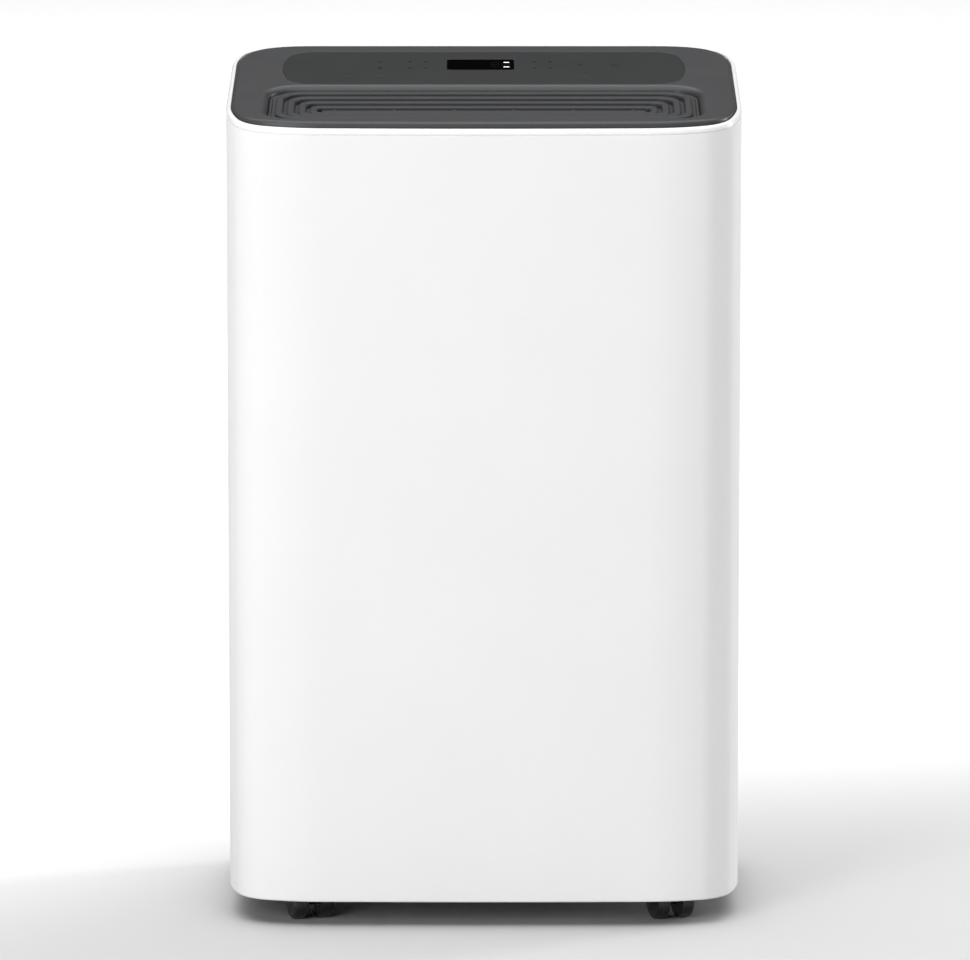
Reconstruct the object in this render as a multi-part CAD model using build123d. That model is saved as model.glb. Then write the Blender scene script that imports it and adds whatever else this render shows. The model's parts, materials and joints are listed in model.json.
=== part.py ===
from build123d import *
import os
from math import asin, atan, cos, degrees, radians, sin, tan

# Upright compressor dehumidifier on four twin-wheel casters.
# Frame: millimetres, +Z up, the front faces -Y, the origin is on the floor under the middle of the casing.

# ---------------------------------------------------------------- driving dimensions
WIDTH = 380.0
DEPTH = 262.0
SKIRT_Z = 19.0            # bottom edge of the casing
RIM_Z = 588.3             # top edge of the casing at the front
TILT = 7.95               # the top falls towards the front by this angle, degrees
WALL = 2.6                # casing wall
SEAM = 0.6                # visible gap between two casing parts
SPLIT_Y = 58.0            # front and rear casing meet here
LAP = 0.2                 # clearance of a lap joint

# plan outline: a bowed front, soft corners made of three arcs, flat sides and back
BOW_RADIUS = 5000.0
SOFT_TURN = 18.0          # degrees turned by each soft arc of a corner
FRONT_SOFT = 140.0
FRONT_TIGHT = 36.0
BACK_SOFT = 110.0
BACK_TIGHT = 32.0

# top
BEZEL_HEIGHT = 4.9        # above the casing rim
BEZEL_WIDTH = 3.4
BEZEL_ROUND = 2.6
COVER_GAP = 1.2
COVER_TOP = 6.0           # top of the dark cover above the casing rim, at the back
COVER_LEAN = 2.6          # how much further it stands above the rim at the front
COVER_ROUND = 2.2
COVER_SKIN = 2.6
PANEL_Y = 51.0            # centre of the control panel
PANEL_SIZE = (302.0, 107.0)
PANEL_DEPTH = 1.2
DISPLAY_SIZE = (50.5, 35.0)
DISPLAY_AT = (-2.6, 62.0)
OUTLET_Y = -59.5          # centre of the air outlet
OUTLET_SIZE = (318.0, 99.0)
OUTLET_CORNER = 22.0
RING_FIRST = 8.4          # from the outlet's edge to the middle of the first ring
RING_PITCH = 8.4
RING_BAR = 5.4
RING_COUNT = 4
RING_SPREAD = 1.17        # the rings lie this much further apart from front to back
FLANGE_DROP = 4.6         # how far the grille's flange lies below the cover's top
RING_DROP = 1.0           # the rings step down from here, each one lower than the ring around it
RING_STEP = 1.2
GRILLE_LOW = 12.0         # underside of the grille below the cover's top
RIB_DROP = 7.6            # tops of the ribs under the rings, below the cover's top
RIB_THICK = 2.2
RIB_X = [22.0 * k for k in (-5, -3, -1, 1, 3, 5)]
WEB_FROM = 113.0          # beyond this x the slots between the rings are closed grooves
WEB_DROP = 2.4            # depth of those grooves

# levels inside
DECK_Z = 47.0             # underside of the base deck
DECK_THICK = 3.0
BASE_WALL = 6.0           # the base's outer wall rises this far above the deck's underside
STEM_TOP = 7.0            # the caster stems end this far above the deck's underside
STEM_BOSS = 8.5
SHELF_Z = 288.0
SHELF_THICK = 3.0
HALF = WIDTH / 2
FRONT = -DEPTH / 2
BACK = DEPTH / 2

# inlet grille on the back
INLET_SIZE = (250.0, 244.0)
INLET_Z = 440.0
INLET_DEEP = 10.0
SLAT_PITCH = 9.0

# bucket
BUCKET_HALF = 124.0
BUCKET_FRONT = -18.0
BUCKET_FLOOR = 50.3
BUCKET_RIM = 222.0
BUCKET_WALL = 2.5
FACE_HALF = 126.0
FACE_LOW = 50.6
FACE_HIGH = 230.0
OPEN_GAP = 0.6
BAIL_Y = 55.0
BAIL_Z = 214.0
BAIL_ARM = 46.0
BAIL_HALF = 117.0
FLOAT_AT = (-85.0, 8.0)

# casters
CASTER_X = 134.3
CASTER_Y = 79.6
CASTER_TURN = 16.0        # how far the casters happen to stand turned, degrees
TRAIL = 15.0
WHEEL_R = 18.0
AXLE_R = 3.0
STEM_R = 4.0
RUN_GAP = 0.06            # radial clearance of a running fit

# fan
FAN_Z = 412.0
FAN_R = 84.0
SCROLL_R = 116.0
SCROLL_Y = (-103.0, -17.0)
SHEET = 2.2
DUCT_TOP = -7.0           # the duct ends this far below the casing's rim


# ---------------------------------------------------------------- helpers
def block(x0, x1, y0, y1, z0, z1):
    """A box between two corners."""
    return Pos((x0 + x1) / 2, (y0 + y1) / 2, (z0 + z1) / 2) * Box(x1 - x0, y1 - y0, z1 - z0)


def rod_x(radius, x0, x1, y, z):
    return Pos((x0 + x1) / 2, y, z) * Rot(0, 90, 0) * Cylinder(radius, x1 - x0)


def rod_y(radius, x, y0, y1, z):
    return Pos(x, (y0 + y1) / 2, z) * Rot(90, 0, 0) * Cylinder(radius, y1 - y0)


def rod_z(radius, x, y, z0, z1):
    return Pos(x, y, (z0 + z1) / 2) * Cylinder(radius, z1 - z0)


def panel_y(size, corner, x, y0, y1, z):
    """A plate with rounded corners that lies across Y."""
    face = Plane(origin=(x, y1, z), x_dir=(1, 0, 0), z_dir=(0, -1, 0)) * RectangleRounded(*size, corner)
    return extrude(face, y1 - y0)


def panel_x(size, corner, x0, x1, y, z):
    """A plate with rounded corners that lies across X; size is along Y and Z."""
    face = Plane(origin=(x0, y, z), x_dir=(0, 1, 0), z_dir=(1, 0, 0)) * RectangleRounded(*size, corner)
    return extrude(face, x1 - x0)


def panel_z(size, corner, x, y, z0, z1):
    """A plate with rounded corners that lies across Z."""
    return extrude(Pos(x, y, z0) * RectangleRounded(*size, corner), z1 - z0)


def both_sides(part):
    """The part and its mirror image, as separate solids."""
    return [*part.solids(), *mirror(part, about=Plane.YZ).solids()]


def pipe(radius, points, bends):
    """A round pipe along straight runs joined by tangent arcs."""
    path = FilletPolyline(*points, radius=bends)
    start = Plane(origin=path @ 0, z_dir=path % 0)
    return sweep(start * Circle(radius), path=path)


def corner_moves(inset, soft, tight, first_turn, last_turn):
    """The three arcs of one corner as (radius, degrees turned)."""
    return [(soft - inset, first_turn), (tight - inset, 90 - 2 * SOFT_TURN), (soft - inset, last_turn)]


def corner_reach(soft, tight):
    """How far a corner reaches along its two sides: (the side it starts on, the side it ends on)."""
    a = radians(SOFT_TURN)
    middle = tight * (cos(a) - sin(a))
    return soft * sin(a) + middle + soft * (1 - cos(a))


def plan_face(inset, z):
    """The casing's plan outline moved inwards by inset, as a face at height z."""
    a = radians(SOFT_TURN)
    bow_reach = HALF - corner_reach(FRONT_SOFT, FRONT_TIGHT)
    bow_turn = asin(bow_reach / (BOW_RADIUS - FRONT_SOFT))
    front_reach = (BOW_RADIUS * (1 - cos(bow_turn)) + FRONT_SOFT * (cos(bow_turn) - cos(a))
                   + FRONT_TIGHT * (cos(a) - sin(a)) + FRONT_SOFT * sin(a))
    side = DEPTH - front_reach - corner_reach(BACK_SOFT, BACK_TIGHT)
    back = HALF - corner_reach(BACK_SOFT, BACK_TIGHT)
    bow = degrees(bow_turn)
    moves = [(BOW_RADIUS - inset, bow)]
    moves += corner_moves(inset, FRONT_SOFT, FRONT_TIGHT, SOFT_TURN - bow, SOFT_TURN)
    moves += [(None, side)]
    moves += corner_moves(inset, BACK_SOFT, BACK_TIGHT, SOFT_TURN, SOFT_TURN)
    moves += [(None, back)]
    here = Vector(0, FRONT + inset, z)
    heading = 0.0
    edges = []
    for radius, amount in moves:
        if radius is None:
            there = here + Vector(cos(radians(heading)), sin(radians(heading)), 0) * amount
            edges.append(Line(here, there))
        else:
            centre = here + Vector(-sin(radians(heading)), cos(radians(heading)), 0) * radius
            arc = [centre + Vector(sin(radians(h)), -cos(radians(h)), 0) * radius
                   for h in (heading + amount / 2, heading + amount)]
            there = arc[1]
            edges.append(ThreePointArc(here, arc[0], there))
            heading += amount
        here = there
    edges += [mirror(e, about=Plane.YZ) for e in edges]
    return make_face(edges)


def column(inset, z0, z1):
    """The plan outline as an upright solid."""
    return extrude(plan_face(inset, z0), z1 - z0)


def rim_plane(offset):
    """The sloping plane that lies this far above the casing's rim."""
    slope = radians(TILT)
    return Plane(origin=(0, FRONT, RIM_Z + offset), x_dir=(1, 0, 0), z_dir=(0, -sin(slope), cos(slope)))


def below_rim(part, offset):
    return split(part, bisect_by=rim_plane(offset), keep=Keep.BOTTOM)


def above_rim(part, offset):
    return split(part, bisect_by=rim_plane(offset), keep=Keep.TOP)


def slab(inset, low, high):
    """The plan outline between two sloping planes, measured up from the casing's rim."""
    return below_rim(above_rim(column(inset, RIM_Z - 40, RIM_Z + 80), low), high)


def cover_plane(drop):
    """The plane that lies this far below the cover's top, which slopes a little less than the rim."""
    slope = atan(tan(radians(TILT)) - COVER_LEAN / DEPTH)
    return Plane(origin=(0, FRONT, RIM_Z + COVER_TOP + COVER_LEAN - drop), x_dir=(1, 0, 0),
                 z_dir=(0, -sin(slope), cos(slope)))


def below_cover(part, drop):
    return split(part, bisect_by=cover_plane(drop), keep=Keep.BOTTOM)


def above_cover(part, drop):
    return split(part, bisect_by=cover_plane(drop), keep=Keep.TOP)


def rim_z(y):
    """Height of the casing's rim at y."""
    return RIM_Z + tan(radians(TILT)) * (y - FRONT)


# ---------------------------------------------------------------- casing
HANDLE_SIZE = (94.0, 32.0)
HANDLE_AT = (-6.0, 505.0)      # y, z
HANDLE_DEEP = 26.0
SCREW_SPOTS = [(84.0, 36.0), (115.0, 270.0), (112.0, 594.0)]   # x, z
DRAIN_AT = (84.0, 262.0)      # x, z
GLAND_AT = (-84.0, 262.0)
SPIGOT_R = 9.0
CUP_R = 19.0
HEAD_Y = BACK - 9.0           # seat of the casing screws


def casing_shell():
    outer = column(0, SKIRT_Z, RIM_Z + 80)
    outer = fillet(outer.edges().group_by(Axis.Z)[0], 1.6)
    return below_rim(outer - column(WALL, SKIRT_Z - 1, RIM_Z + 81), 0)


def front_casing():
    shell = split(casing_shell(), bisect_by=Plane.XZ.offset(-SPLIT_Y + SEAM / 2), keep=Keep.TOP)
    hole = panel_x(HANDLE_SIZE, 12, -HALF - 5, HALF + 5, *HANDLE_AT)
    return shell - hole


def rear_casing():
    shell = split(casing_shell(), bisect_by=Plane.XZ.offset(-SPLIT_Y - SEAM / 2), keep=Keep.BOTTOM)
    shell += lap_lip(WALL + LAP, SPLIT_Y - 8) + lap_lip(WALL - 0.5, SPLIT_Y + 1)
    wells = [rod_y(7, x, HEAD_Y - 2.4, BACK - 0.5, z) for x, z in screw_places()]
    shell += wells
    shell -= [rod_y(5, x, HEAD_Y, BACK + 1, z) for x, z in screw_places()]
    shell -= [rod_y(2.3, x, HEAD_Y - 4, HEAD_Y + 1, z) for x, z in screw_places()]
    gap = 2 * OPEN_GAP
    shell -= panel_y((INLET_SIZE[0] + gap, INLET_SIZE[1] + gap), 8, 0, BACK - 20, BACK + 1, INLET_Z)
    face_size = (2 * FACE_HALF + gap, FACE_HIGH - FACE_LOW + gap)
    shell -= panel_y(face_size, 8, 0, BACK - 20, BACK + 1, (FACE_LOW + FACE_HIGH) / 2)
    shell -= rod_y(CUP_R + 0.3, DRAIN_AT[0], BACK - 5, BACK + 1, DRAIN_AT[1])
    shell -= rod_y(11.3, GLAND_AT[0], BACK - 5, BACK + 1, GLAND_AT[1])
    return shell


def lap_lip(inset, y0):
    """A band of the lip that reaches behind the front casing, above the base and below the bezel."""
    low = DECK_Z + BASE_WALL + 6
    lip = column(inset, low, RIM_Z + 80) - column(WALL + LAP + 2, low - 1, RIM_Z + 81)
    return below_rim(lip, -12) & block(-HALF, HALF, y0, SPLIT_Y + 6, 0, RIM_Z + 80)


def screw_places():
    return [(side * x, z) for x, z in SCREW_SPOTS for side in (-1, 1)]


def casing_screws():
    """Pan-head screws that hold the rear casing, each with a cross recess."""
    screws = []
    for x, z in screw_places():
        head = rod_y(4, x, HEAD_Y, HEAD_Y + 2.6, z)
        head = fillet(head.edges().group_by(Axis.Y)[-1], 1.0)
        head -= [block(x - 2.2, x + 2.2, HEAD_Y + 1.2, HEAD_Y + 3, z - 0.4, z + 0.4),
                 block(x - 0.4, x + 0.4, HEAD_Y + 1.2, HEAD_Y + 3, z - 2.2, z + 2.2)]
        screws.append(head + rod_y(1.95, x, HEAD_Y - 18, HEAD_Y, z))
    return screws


def screw_boss(x, z):
    """The post that a casing screw bites into, in front of the rear casing's screw well."""
    return rod_y(5.5, x, HEAD_Y - 24, HEAD_Y - 2.8, z)


def screw_hole(x, z):
    return rod_y(2.02, x, HEAD_Y - 20, HEAD_Y, z)


def side_handles():
    """Two finger cups in the side walls, held by a flange behind the wall."""
    y, z = HANDLE_AT
    deep = HALF - HANDLE_DEEP
    wide, high = HANDLE_SIZE
    cup = panel_x((wide - 0.6, high - 0.6), 11.7, deep, HALF, y, z)
    cup += panel_x((wide + 12, high + 12), 14, HALF - WALL - 2.2, HALF - WALL - LAP, y, z)
    cup -= panel_x((wide - 5, high - 5), 9.5, deep + 2, HALF + 1, y, z)
    return both_sides(cup)


# ---------------------------------------------------------------- top
def top_bezel():
    ring = slab(0, SEAM, BEZEL_HEIGHT)
    ring = fillet(top_rim_edges(ring), BEZEL_ROUND)
    ring -= slab(BEZEL_WIDTH, SEAM + 2, BEZEL_HEIGHT + 5)
    ring -= slab(10, SEAM - 5, BEZEL_HEIGHT + 5)
    skirt = slab(WALL + LAP, -8, SEAM + 0.1) - slab(WALL + LAP + 2, -9, SEAM + 1)
    ring += skirt
    x, z = SCREW_SPOTS[2]
    ledge_z = rim_z(BACK - 12)
    for side in (-1, 1):
        ring += screw_boss(side * x, z)
        ring += block(side * x - 5, side * x + 5, HEAD_Y - 14, HEAD_Y - 2.8, z, ledge_z)
        ring += block(side * x - 5, side * x + 5, HEAD_Y - 6, BACK - WALL - LAP - 0.5, ledge_z - 6, ledge_z)
        ring -= screw_hole(side * x, z)
    return ring


def top_rim_edges(part):
    """The outer edges of the part's sloping top face."""
    upward = Axis((0, 0, 0), tuple(rim_plane(0).z_dir))
    return part.faces().sort_by(upward)[-1].edges()


def top_cover():
    inset = BEZEL_WIDTH + COVER_GAP
    cover = below_cover(above_rim(column(inset, RIM_Z - 40, RIM_Z + 80), SEAM + 2.1), 0)
    cover = fillet(top_rim_edges(cover), COVER_ROUND)
    cover -= below_cover(column(inset + 4, RIM_Z - 40, RIM_Z + 80), COVER_SKIN)
    cover -= outlet_prism(0)
    outlet_wall = outlet_prism(-COVER_SKIN) - outlet_prism(0)
    cover += below_cover(above_rim(outlet_wall, -6), 0.5)
    cover -= above_cover(panel_prism(0), PANEL_DEPTH)
    width, deep = DISPLAY_SIZE
    cover -= panel_z((width - 4, deep - 4), 2, *DISPLAY_AT, RIM_Z - 40, RIM_Z + 80)
    return cover


def outlet_prism(inset):
    """The outlet's opening as an upright solid, moved inwards by inset."""
    spread, shrink = (RING_SPREAD, 0.5) if inset > 0.5 else (1, 1)
    size = (OUTLET_SIZE[0] - 2 * inset, OUTLET_SIZE[1] - 2 * inset * spread)
    corner = OUTLET_CORNER - inset * shrink
    return panel_z(size, min(corner, size[1] / 2 - 0.4), 0, OUTLET_Y, RIM_Z - 40, RIM_Z + 80)


def panel_prism(inset):
    """The control panel's outline as an upright solid: straight long sides, bulged ends and round corners."""
    width, deep = PANEL_SIZE[0] / 2 - inset, PANEL_SIZE[1] / 2 - inset
    shoulder = width - 9
    half = [Line((0, -deep), (shoulder, -deep)), ThreePointArc((shoulder, -deep), (width, 0), (shoulder, deep)),
            Line((shoulder, deep), (0, deep))]
    face = make_face([*half, *[mirror(e, about=Plane.YZ) for e in half]])
    solid = extrude(Pos(0, PANEL_Y, RIM_Z - 40) * face, 120)
    upright = [e for e in solid.edges().filter_by(Axis.Z) if abs(abs((e @ 0).X) - shoulder) < 0.1]
    return fillet(upright, 20 - inset)


def control_panel():
    """The touch panel that lies flush in the cover, with a window for the display."""
    sheet = below_cover(above_cover(panel_prism(0.15), PANEL_DEPTH - 0.05), 0)
    return sheet - panel_z(DISPLAY_SIZE, 3, *DISPLAY_AT, RIM_Z - 40, RIM_Z + 80)


def display_window():
    width, deep = DISPLAY_SIZE
    lens = panel_z((width - 0.3, deep - 0.3), 2.85, *DISPLAY_AT, RIM_Z - 40, RIM_Z + 80)
    return below_cover(above_cover(lens, PANEL_DEPTH - 0.05), 0.1)


def display_board():
    board = panel_z((180, 44), 3, DISPLAY_AT[0], DISPLAY_AT[1], RIM_Z - 40, RIM_Z + 80)
    board = below_rim(above_rim(board, -4), -2.4)
    digits = panel_z((40, 22), 1, *DISPLAY_AT, RIM_Z - 40, RIM_Z + 80)
    return board + below_cover(above_rim(digits, -2.5), COVER_SKIN + 0.3)


def grille_layer(prism, drop):
    """The part of an upright solid between the grille's underside and a top this far below the cover's top."""
    return below_cover(above_cover(prism, GRILLE_LOW), drop)


def ring_drop(ring):
    return RING_DROP + RING_STEP * (ring + 1)


def outlet_grille():
    """Nested ring bars that step down towards a middle plate, in a flange, tied by ribs and closed at both ends."""
    grille = grille_layer(outlet_prism(0.3) - outlet_prism(3.2), FLANGE_DROP)
    ends = block(-WIDTH, -WEB_FROM, -DEPTH, DEPTH, RIM_Z - 40, RIM_Z + 80)
    ends += block(WEB_FROM, WIDTH, -DEPTH, DEPTH, RIM_Z - 40, RIM_Z + 80)
    outside = 3.2
    for ring in range(RING_COUNT):
        inset = RING_FIRST + ring * RING_PITCH
        bar = outlet_prism(inset - RING_BAR / 2) - outlet_prism(inset + RING_BAR / 2)
        grille += grille_layer(bar, ring_drop(ring))
        groove = (outlet_prism(outside) - outlet_prism(inset - RING_BAR / 2)) & ends
        grille += grille_layer(groove, ring_drop(ring) + WEB_DROP)
        outside = inset + RING_BAR / 2
    plate = RING_FIRST + RING_COUNT * RING_PITCH - RING_BAR / 2
    grille += grille_layer(outlet_prism(plate), ring_drop(RING_COUNT))
    grille += grille_layer((outlet_prism(outside) - outlet_prism(plate)) & ends, ring_drop(RING_COUNT) + WEB_DROP)
    rib_box = grille_layer(outlet_prism(2), RIB_DROP)
    half = RIB_THICK / 2
    ribs = [block(x - half, x + half, -DEPTH, DEPTH, RIM_Z - 40, RIM_Z + 80) for x in RIB_X]
    return grille + [rib_box & rib for rib in ribs]


# ---------------------------------------------------------------- base and shelf
COMPRESSOR_AT = (80.0, -72.0)
FOOT_REACH = 50.0
FOOT_ANGLES = (60, 180, 300)


def caster_places():
    return {"front_left": (-CASTER_X, -CASTER_Y), "front_right": (CASTER_X, -CASTER_Y),
            "rear_left": (-CASTER_X, CASTER_Y), "rear_right": (CASTER_X, CASTER_Y)}


def base_pan():
    inset = WALL + LAP
    wall_top = DECK_Z + BASE_WALL
    pan = column(inset, SKIRT_Z + 2, wall_top) - column(inset + 2.4, SKIRT_Z + 1, wall_top + 1)
    pan += column(inset + 1, DECK_Z, DECK_Z + DECK_THICK)
    pan -= block(-FACE_HALF - 2, FACE_HALF + 2, BACK - 20, BACK, DECK_Z + DECK_THICK, DECK_Z + 20)
    for x, y in caster_places().values():
        pan += rod_z(9, x, y, DECK_Z - 3.5, DECK_Z + STEM_BOSS)
        pan -= rod_z(STEM_R, x, y, DECK_Z - 5, DECK_Z + STEM_TOP)
    for x in (-70, 0, 70):
        pan += block(x - 1.2, x + 1.2, FRONT + 5, BACK - 5, SKIRT_Z + 8, DECK_Z + 0.5)
    pan += block(-88, 88, -1.2, 1.2, SKIRT_Z + 8, DECK_Z + 0.5)
    for x, y in feet_places():
        pan -= rod_z(2.5, x, y, DECK_Z - 1, DECK_Z + 5)
    x, z = SCREW_SPOTS[0]
    for side in (-1, 1):
        pan -= rod_y(7.6, side * x, HEAD_Y - 2.8, BACK, z)
        pan += screw_boss(side * x, z)
        pan += block(side * x - 2, side * x + 2, HEAD_Y - 24, HEAD_Y - 2.8, z, DECK_Z + 1)
        pan -= screw_hole(side * x, z)
    return pan


def divider_shelf():
    shelf = column(WALL + LAP + 3, SHELF_Z, SHELF_Z + SHELF_THICK)
    shelf -= rod_z(10, 0, 60, SHELF_Z - 1, SHELF_Z + 5)
    shelf -= panel_z((30, 30), 8, 166, -20, SHELF_Z - 1, SHELF_Z + 5)
    shelf -= panel_z((30, 30), 8, -166, -40, SHELF_Z - 1, SHELF_Z + 5)
    x, z = SCREW_SPOTS[1]
    for side in (-1, 1):
        shelf += screw_boss(side * x, z)
        shelf += block(side * x - 2.5, side * x + 2.5, HEAD_Y - 24, HEAD_Y - 2.8, z, SHELF_Z + 0.5)
        shelf -= screw_hole(side * x, z)
    return shelf


# ---------------------------------------------------------------- refrigeration
def feet_places():
    x, y = COMPRESSOR_AT
    return [(x + FOOT_REACH * cos(radians(a)), y + FOOT_REACH * sin(radians(a))) for a in FOOT_ANGLES]


def compressor():
    """The sealed shell with its foot plate, and the accumulator strapped beside it.

    The wall is thick, so that the shell also carries the weight of the motor and pump inside."""
    x, y = COMPRESSOR_AT
    shell = rod_z(48, x, y, 64, 262)
    shell = fillet(shell.edges().filter_by(GeomType.CIRCLE), 18)
    shell -= rod_z(37, x, y, 76, 250)
    plate = rod_z(30, x, y, 61, 64.5) + [rod_z(10, fx, fy, 61, 64.5) for fx, fy in feet_places()]
    for angle in FOOT_ANGLES:
        plate += Pos(x, y, 0) * Rot(0, 0, angle) * block(0, FOOT_REACH, -9, 9, 61, 64.5)
    plate -= [rod_z(4.2, fx, fy, 55, 70) for fx, fy in feet_places()]
    cap = rod_z(14, x, y, 261, 270)
    bottle = rod_z(20, x - 74, y, 108, 220)
    bottle = fillet(bottle.edges().filter_by(GeomType.CIRCLE), 9)
    return [*(shell + plate + cap).solids(), *bottle.solids()]


def compressor_grommets():
    ring = [rod_z(8, x, y, 50, 60.9) - rod_z(3.2, x, y, 49, 62) for x, y in feet_places()]
    return ring


def compressor_bolts():
    bolts = []
    for x, y in feet_places():
        bolts.append(rod_z(3, x, y, 50.2, 66) + extrude(Pos(x, y, 64.6) * RegularPolygon(6, 6), 4))
    return bolts


COIL_HALF = 138.0
COIL_Z = (310.0, 556.0)
SPOUT_LOW = 267.0         # the tray's spout ends above the bucket's raised handle
EVAPORATOR_Y = (80.0, 106.0)
CONDENSER_Y = (44.0, 70.0)
FIN_GAPS = 24
FIN_THICK = 1.2
WEB_THICK = 1.2


def fin_pack(y_range):
    """Upright fins on a middle web, between two folded end plates."""
    low, high = COIL_Z
    y0, y1 = y_range
    middle = (y0 + y1) / 2
    pack = block(-COIL_HALF, COIL_HALF, y0, y1, low, high)
    pitch = 2 * COIL_HALF / FIN_GAPS
    for i in range(FIN_GAPS):
        x = -COIL_HALF + pitch * (i + 0.5)
        half = (pitch - FIN_THICK) / 2
        pack -= block(x - half, x + half, y0 - 1, middle - WEB_THICK / 2, low - 1, high + 1)
        pack -= block(x - half, x + half, middle + WEB_THICK / 2, y1 + 1, low - 1, high + 1)
    plates = block(COIL_HALF, COIL_HALF + 1.5, y0 - 3, y1 + 3, low - 2, high + 2)
    return [*pack.solids(), *both_sides(plates)]


def coil_tubes(y_range):
    """The return bends that join the tube rows outside the end plates."""
    low, high = COIL_Z
    y0, y1 = y_range
    pitch = 24.0
    rows = int((high - low) / pitch)
    half = Edge.make_circle(pitch / 2, Plane.XZ, start_angle=-90, end_angle=90)
    bend = sweep(Plane(origin=(0, 0, -pitch / 2), z_dir=(1, 0, 0)) * Circle(4), path=half)
    bends = []
    for row in range(rows):
        z = low + pitch * (row + 0.5) + 2
        y = y0 + 7 if row % 2 else y1 - 7
        side = 1 if row % 2 else -1
        spot = Pos(side * (COIL_HALF + 1.6), y, z)
        bends += (spot * (bend if side > 0 else mirror(bend, about=Plane.YZ))).solids()
    return bends


def drain_tray():
    tray = block(-145, 145, 37, 112, SHELF_Z + SHELF_THICK + 0.5, 306)
    tray -= block(-143, 143, 39, 110, SHELF_Z + SHELF_THICK + 2.7, 307)
    tray += rod_z(8, 0, 60, SPOUT_LOW, SHELF_Z + SHELF_THICK + 1)
    tray -= rod_z(6, 0, 60, SPOUT_LOW - 1, SHELF_Z + SHELF_THICK + 4)
    return tray


def suction_pipe():
    x, y = COMPRESSOR_AT
    points = [(x - 74, y, 220), (x - 74, y, 276), (x - 74, -12, 276), (-62, -12, 276), (-166, -40, 276),
              (-166, -40, 330), (-166, 93, 330), (-157, 93, 346)]
    return pipe(4.5, points, [12, 12, 12, 12, 12, 5])


def discharge_pipe():
    x, y = COMPRESSOR_AT
    points = [(x, y, 270), (x, y, 279), (x + 60, y + 20, 279), (166, -20, 279), (166, -20, 460), (166, 57, 460),
              (157, 57, 460)]
    return pipe(3.5, points, [4, 10, 6, 12, 5])


# ---------------------------------------------------------------- fan
def scroll_outline(inset):
    """The fan housing seen from the front: a round case that opens upwards into the outlet duct."""
    radius = SCROLL_R - inset
    duct = Polyline((-SCROLL_R + inset, FAN_Z), (SCROLL_R - inset, FAN_Z), (158 - inset, 572), (158 - inset, 640),
                    (-158 + inset, 640), (-158 + inset, 572), (-SCROLL_R + inset, FAN_Z))
    return Pos(0, FAN_Z) * Circle(radius) + make_face(duct)


def scroll_solid(inset, y0, y1):
    face = Plane(origin=(0, y1, 0), x_dir=(1, 0, 0), z_dir=(0, -1, 0)) * scroll_outline(inset)
    return extrude(face, y1 - y0)


def fan_scroll():
    y0, y1 = SCROLL_Y
    case = scroll_solid(0, y0, y1) - scroll_solid(SHEET, y0 + SHEET, y1 + 1)
    case -= rod_y(46, 0, y0 - 1, y0 + 10, FAN_Z)
    return below_rim(case, DUCT_TOP)


def scroll_cover():
    y1 = SCROLL_Y[1]
    plate = scroll_solid(0, y1 + 0.2, y1 + 2.4) - rod_y(62, 0, y1 - 1, y1 + 5, FAN_Z)
    lip = rod_y(64, 0, y1 - 6, y1 + 1, FAN_Z) - rod_y(62, 0, y1 - 7, y1 + 2, FAN_Z)
    return below_rim(plate + lip, DUCT_TOP)


def fan_impeller():
    """A squirrel-cage wheel: a hub disc, forward-curved blades and an end ring."""
    y0, y1 = SCROLL_Y[0] + 7, SCROLL_Y[1] - 10
    disc_y = -72.0
    wheel = rod_y(FAN_R, 0, disc_y, disc_y + 2.5, FAN_Z) + rod_y(11, 0, disc_y - 4, disc_y + 14, FAN_Z)
    for y in (y0, y1 - 3):
        wheel += rod_y(FAN_R, 0, y, y + 3, FAN_Z) - rod_y(FAN_R - 12, 0, y - 1, y + 4, FAN_Z)
    blades = []
    count = 32
    for i in range(count):
        blade = Rot(0, 0, 35) * block(-5.5, 5.5, -0.8, 0.8, y0, y1)
        blade = Pos(FAN_R - 6, 0, 0) * blade
        blade = Rot(0, 0, 360 / count * i) * blade
        blades.append(Pos(0, 0, FAN_Z) * Rot(90, 0, 0) * mirror(blade, about=Plane.XY))
    wheel += blades
    return wheel - rod_y(4 + RUN_GAP, 0, disc_y - 20, disc_y + 20, FAN_Z)


def fan_motor():
    motor = rod_y(42, 0, -125.5, -80, FAN_Z)
    motor = fillet(motor.edges().filter_by(GeomType.CIRCLE), 5)
    flange = rod_y(56, 0, SCROLL_Y[0] - 2.6, SCROLL_Y[0] - 0.2, FAN_Z)
    motor = motor + flange
    return motor - rod_y(4 + RUN_GAP, 0, -112, -70, FAN_Z)


def motor_shaft():
    return rod_y(4, 0, -111, -56, FAN_Z)


# ---------------------------------------------------------------- electrics
BOX_AT = (-164.0, -44.0, -112.0, -34.0, 66.0, 232.0)   # x0, x1, y0, y1, z0, z1


def control_box():
    x0, x1, y0, y1, z0, z1 = BOX_AT
    box = block(*BOX_AT) - block(x0 + 2, x1 - 2, y0 + 2, y1 - 2, z0 + 2, z1 + 1)
    return box + [block(x, x + 4, y0 + 16, y1, DECK_Z + DECK_THICK, z0 + 1) for x in (x0 + 2, x1 - 24)]


def control_box_lid():
    x0, x1, y0, y1, z0, z1 = BOX_AT
    lid = block(x0, x1, y0, y1, z1 + 0.1, z1 + 2.4)
    return lid + (block(x0 + 2.2, x1 - 2.2, y0 + 2.2, y1 - 2.2, z1 - 4, z1 + 0.2)
                  - block(x0 + 4, x1 - 4, y0 + 4, y1 - 4, z1 - 5, z1 + 0.05))


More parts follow.
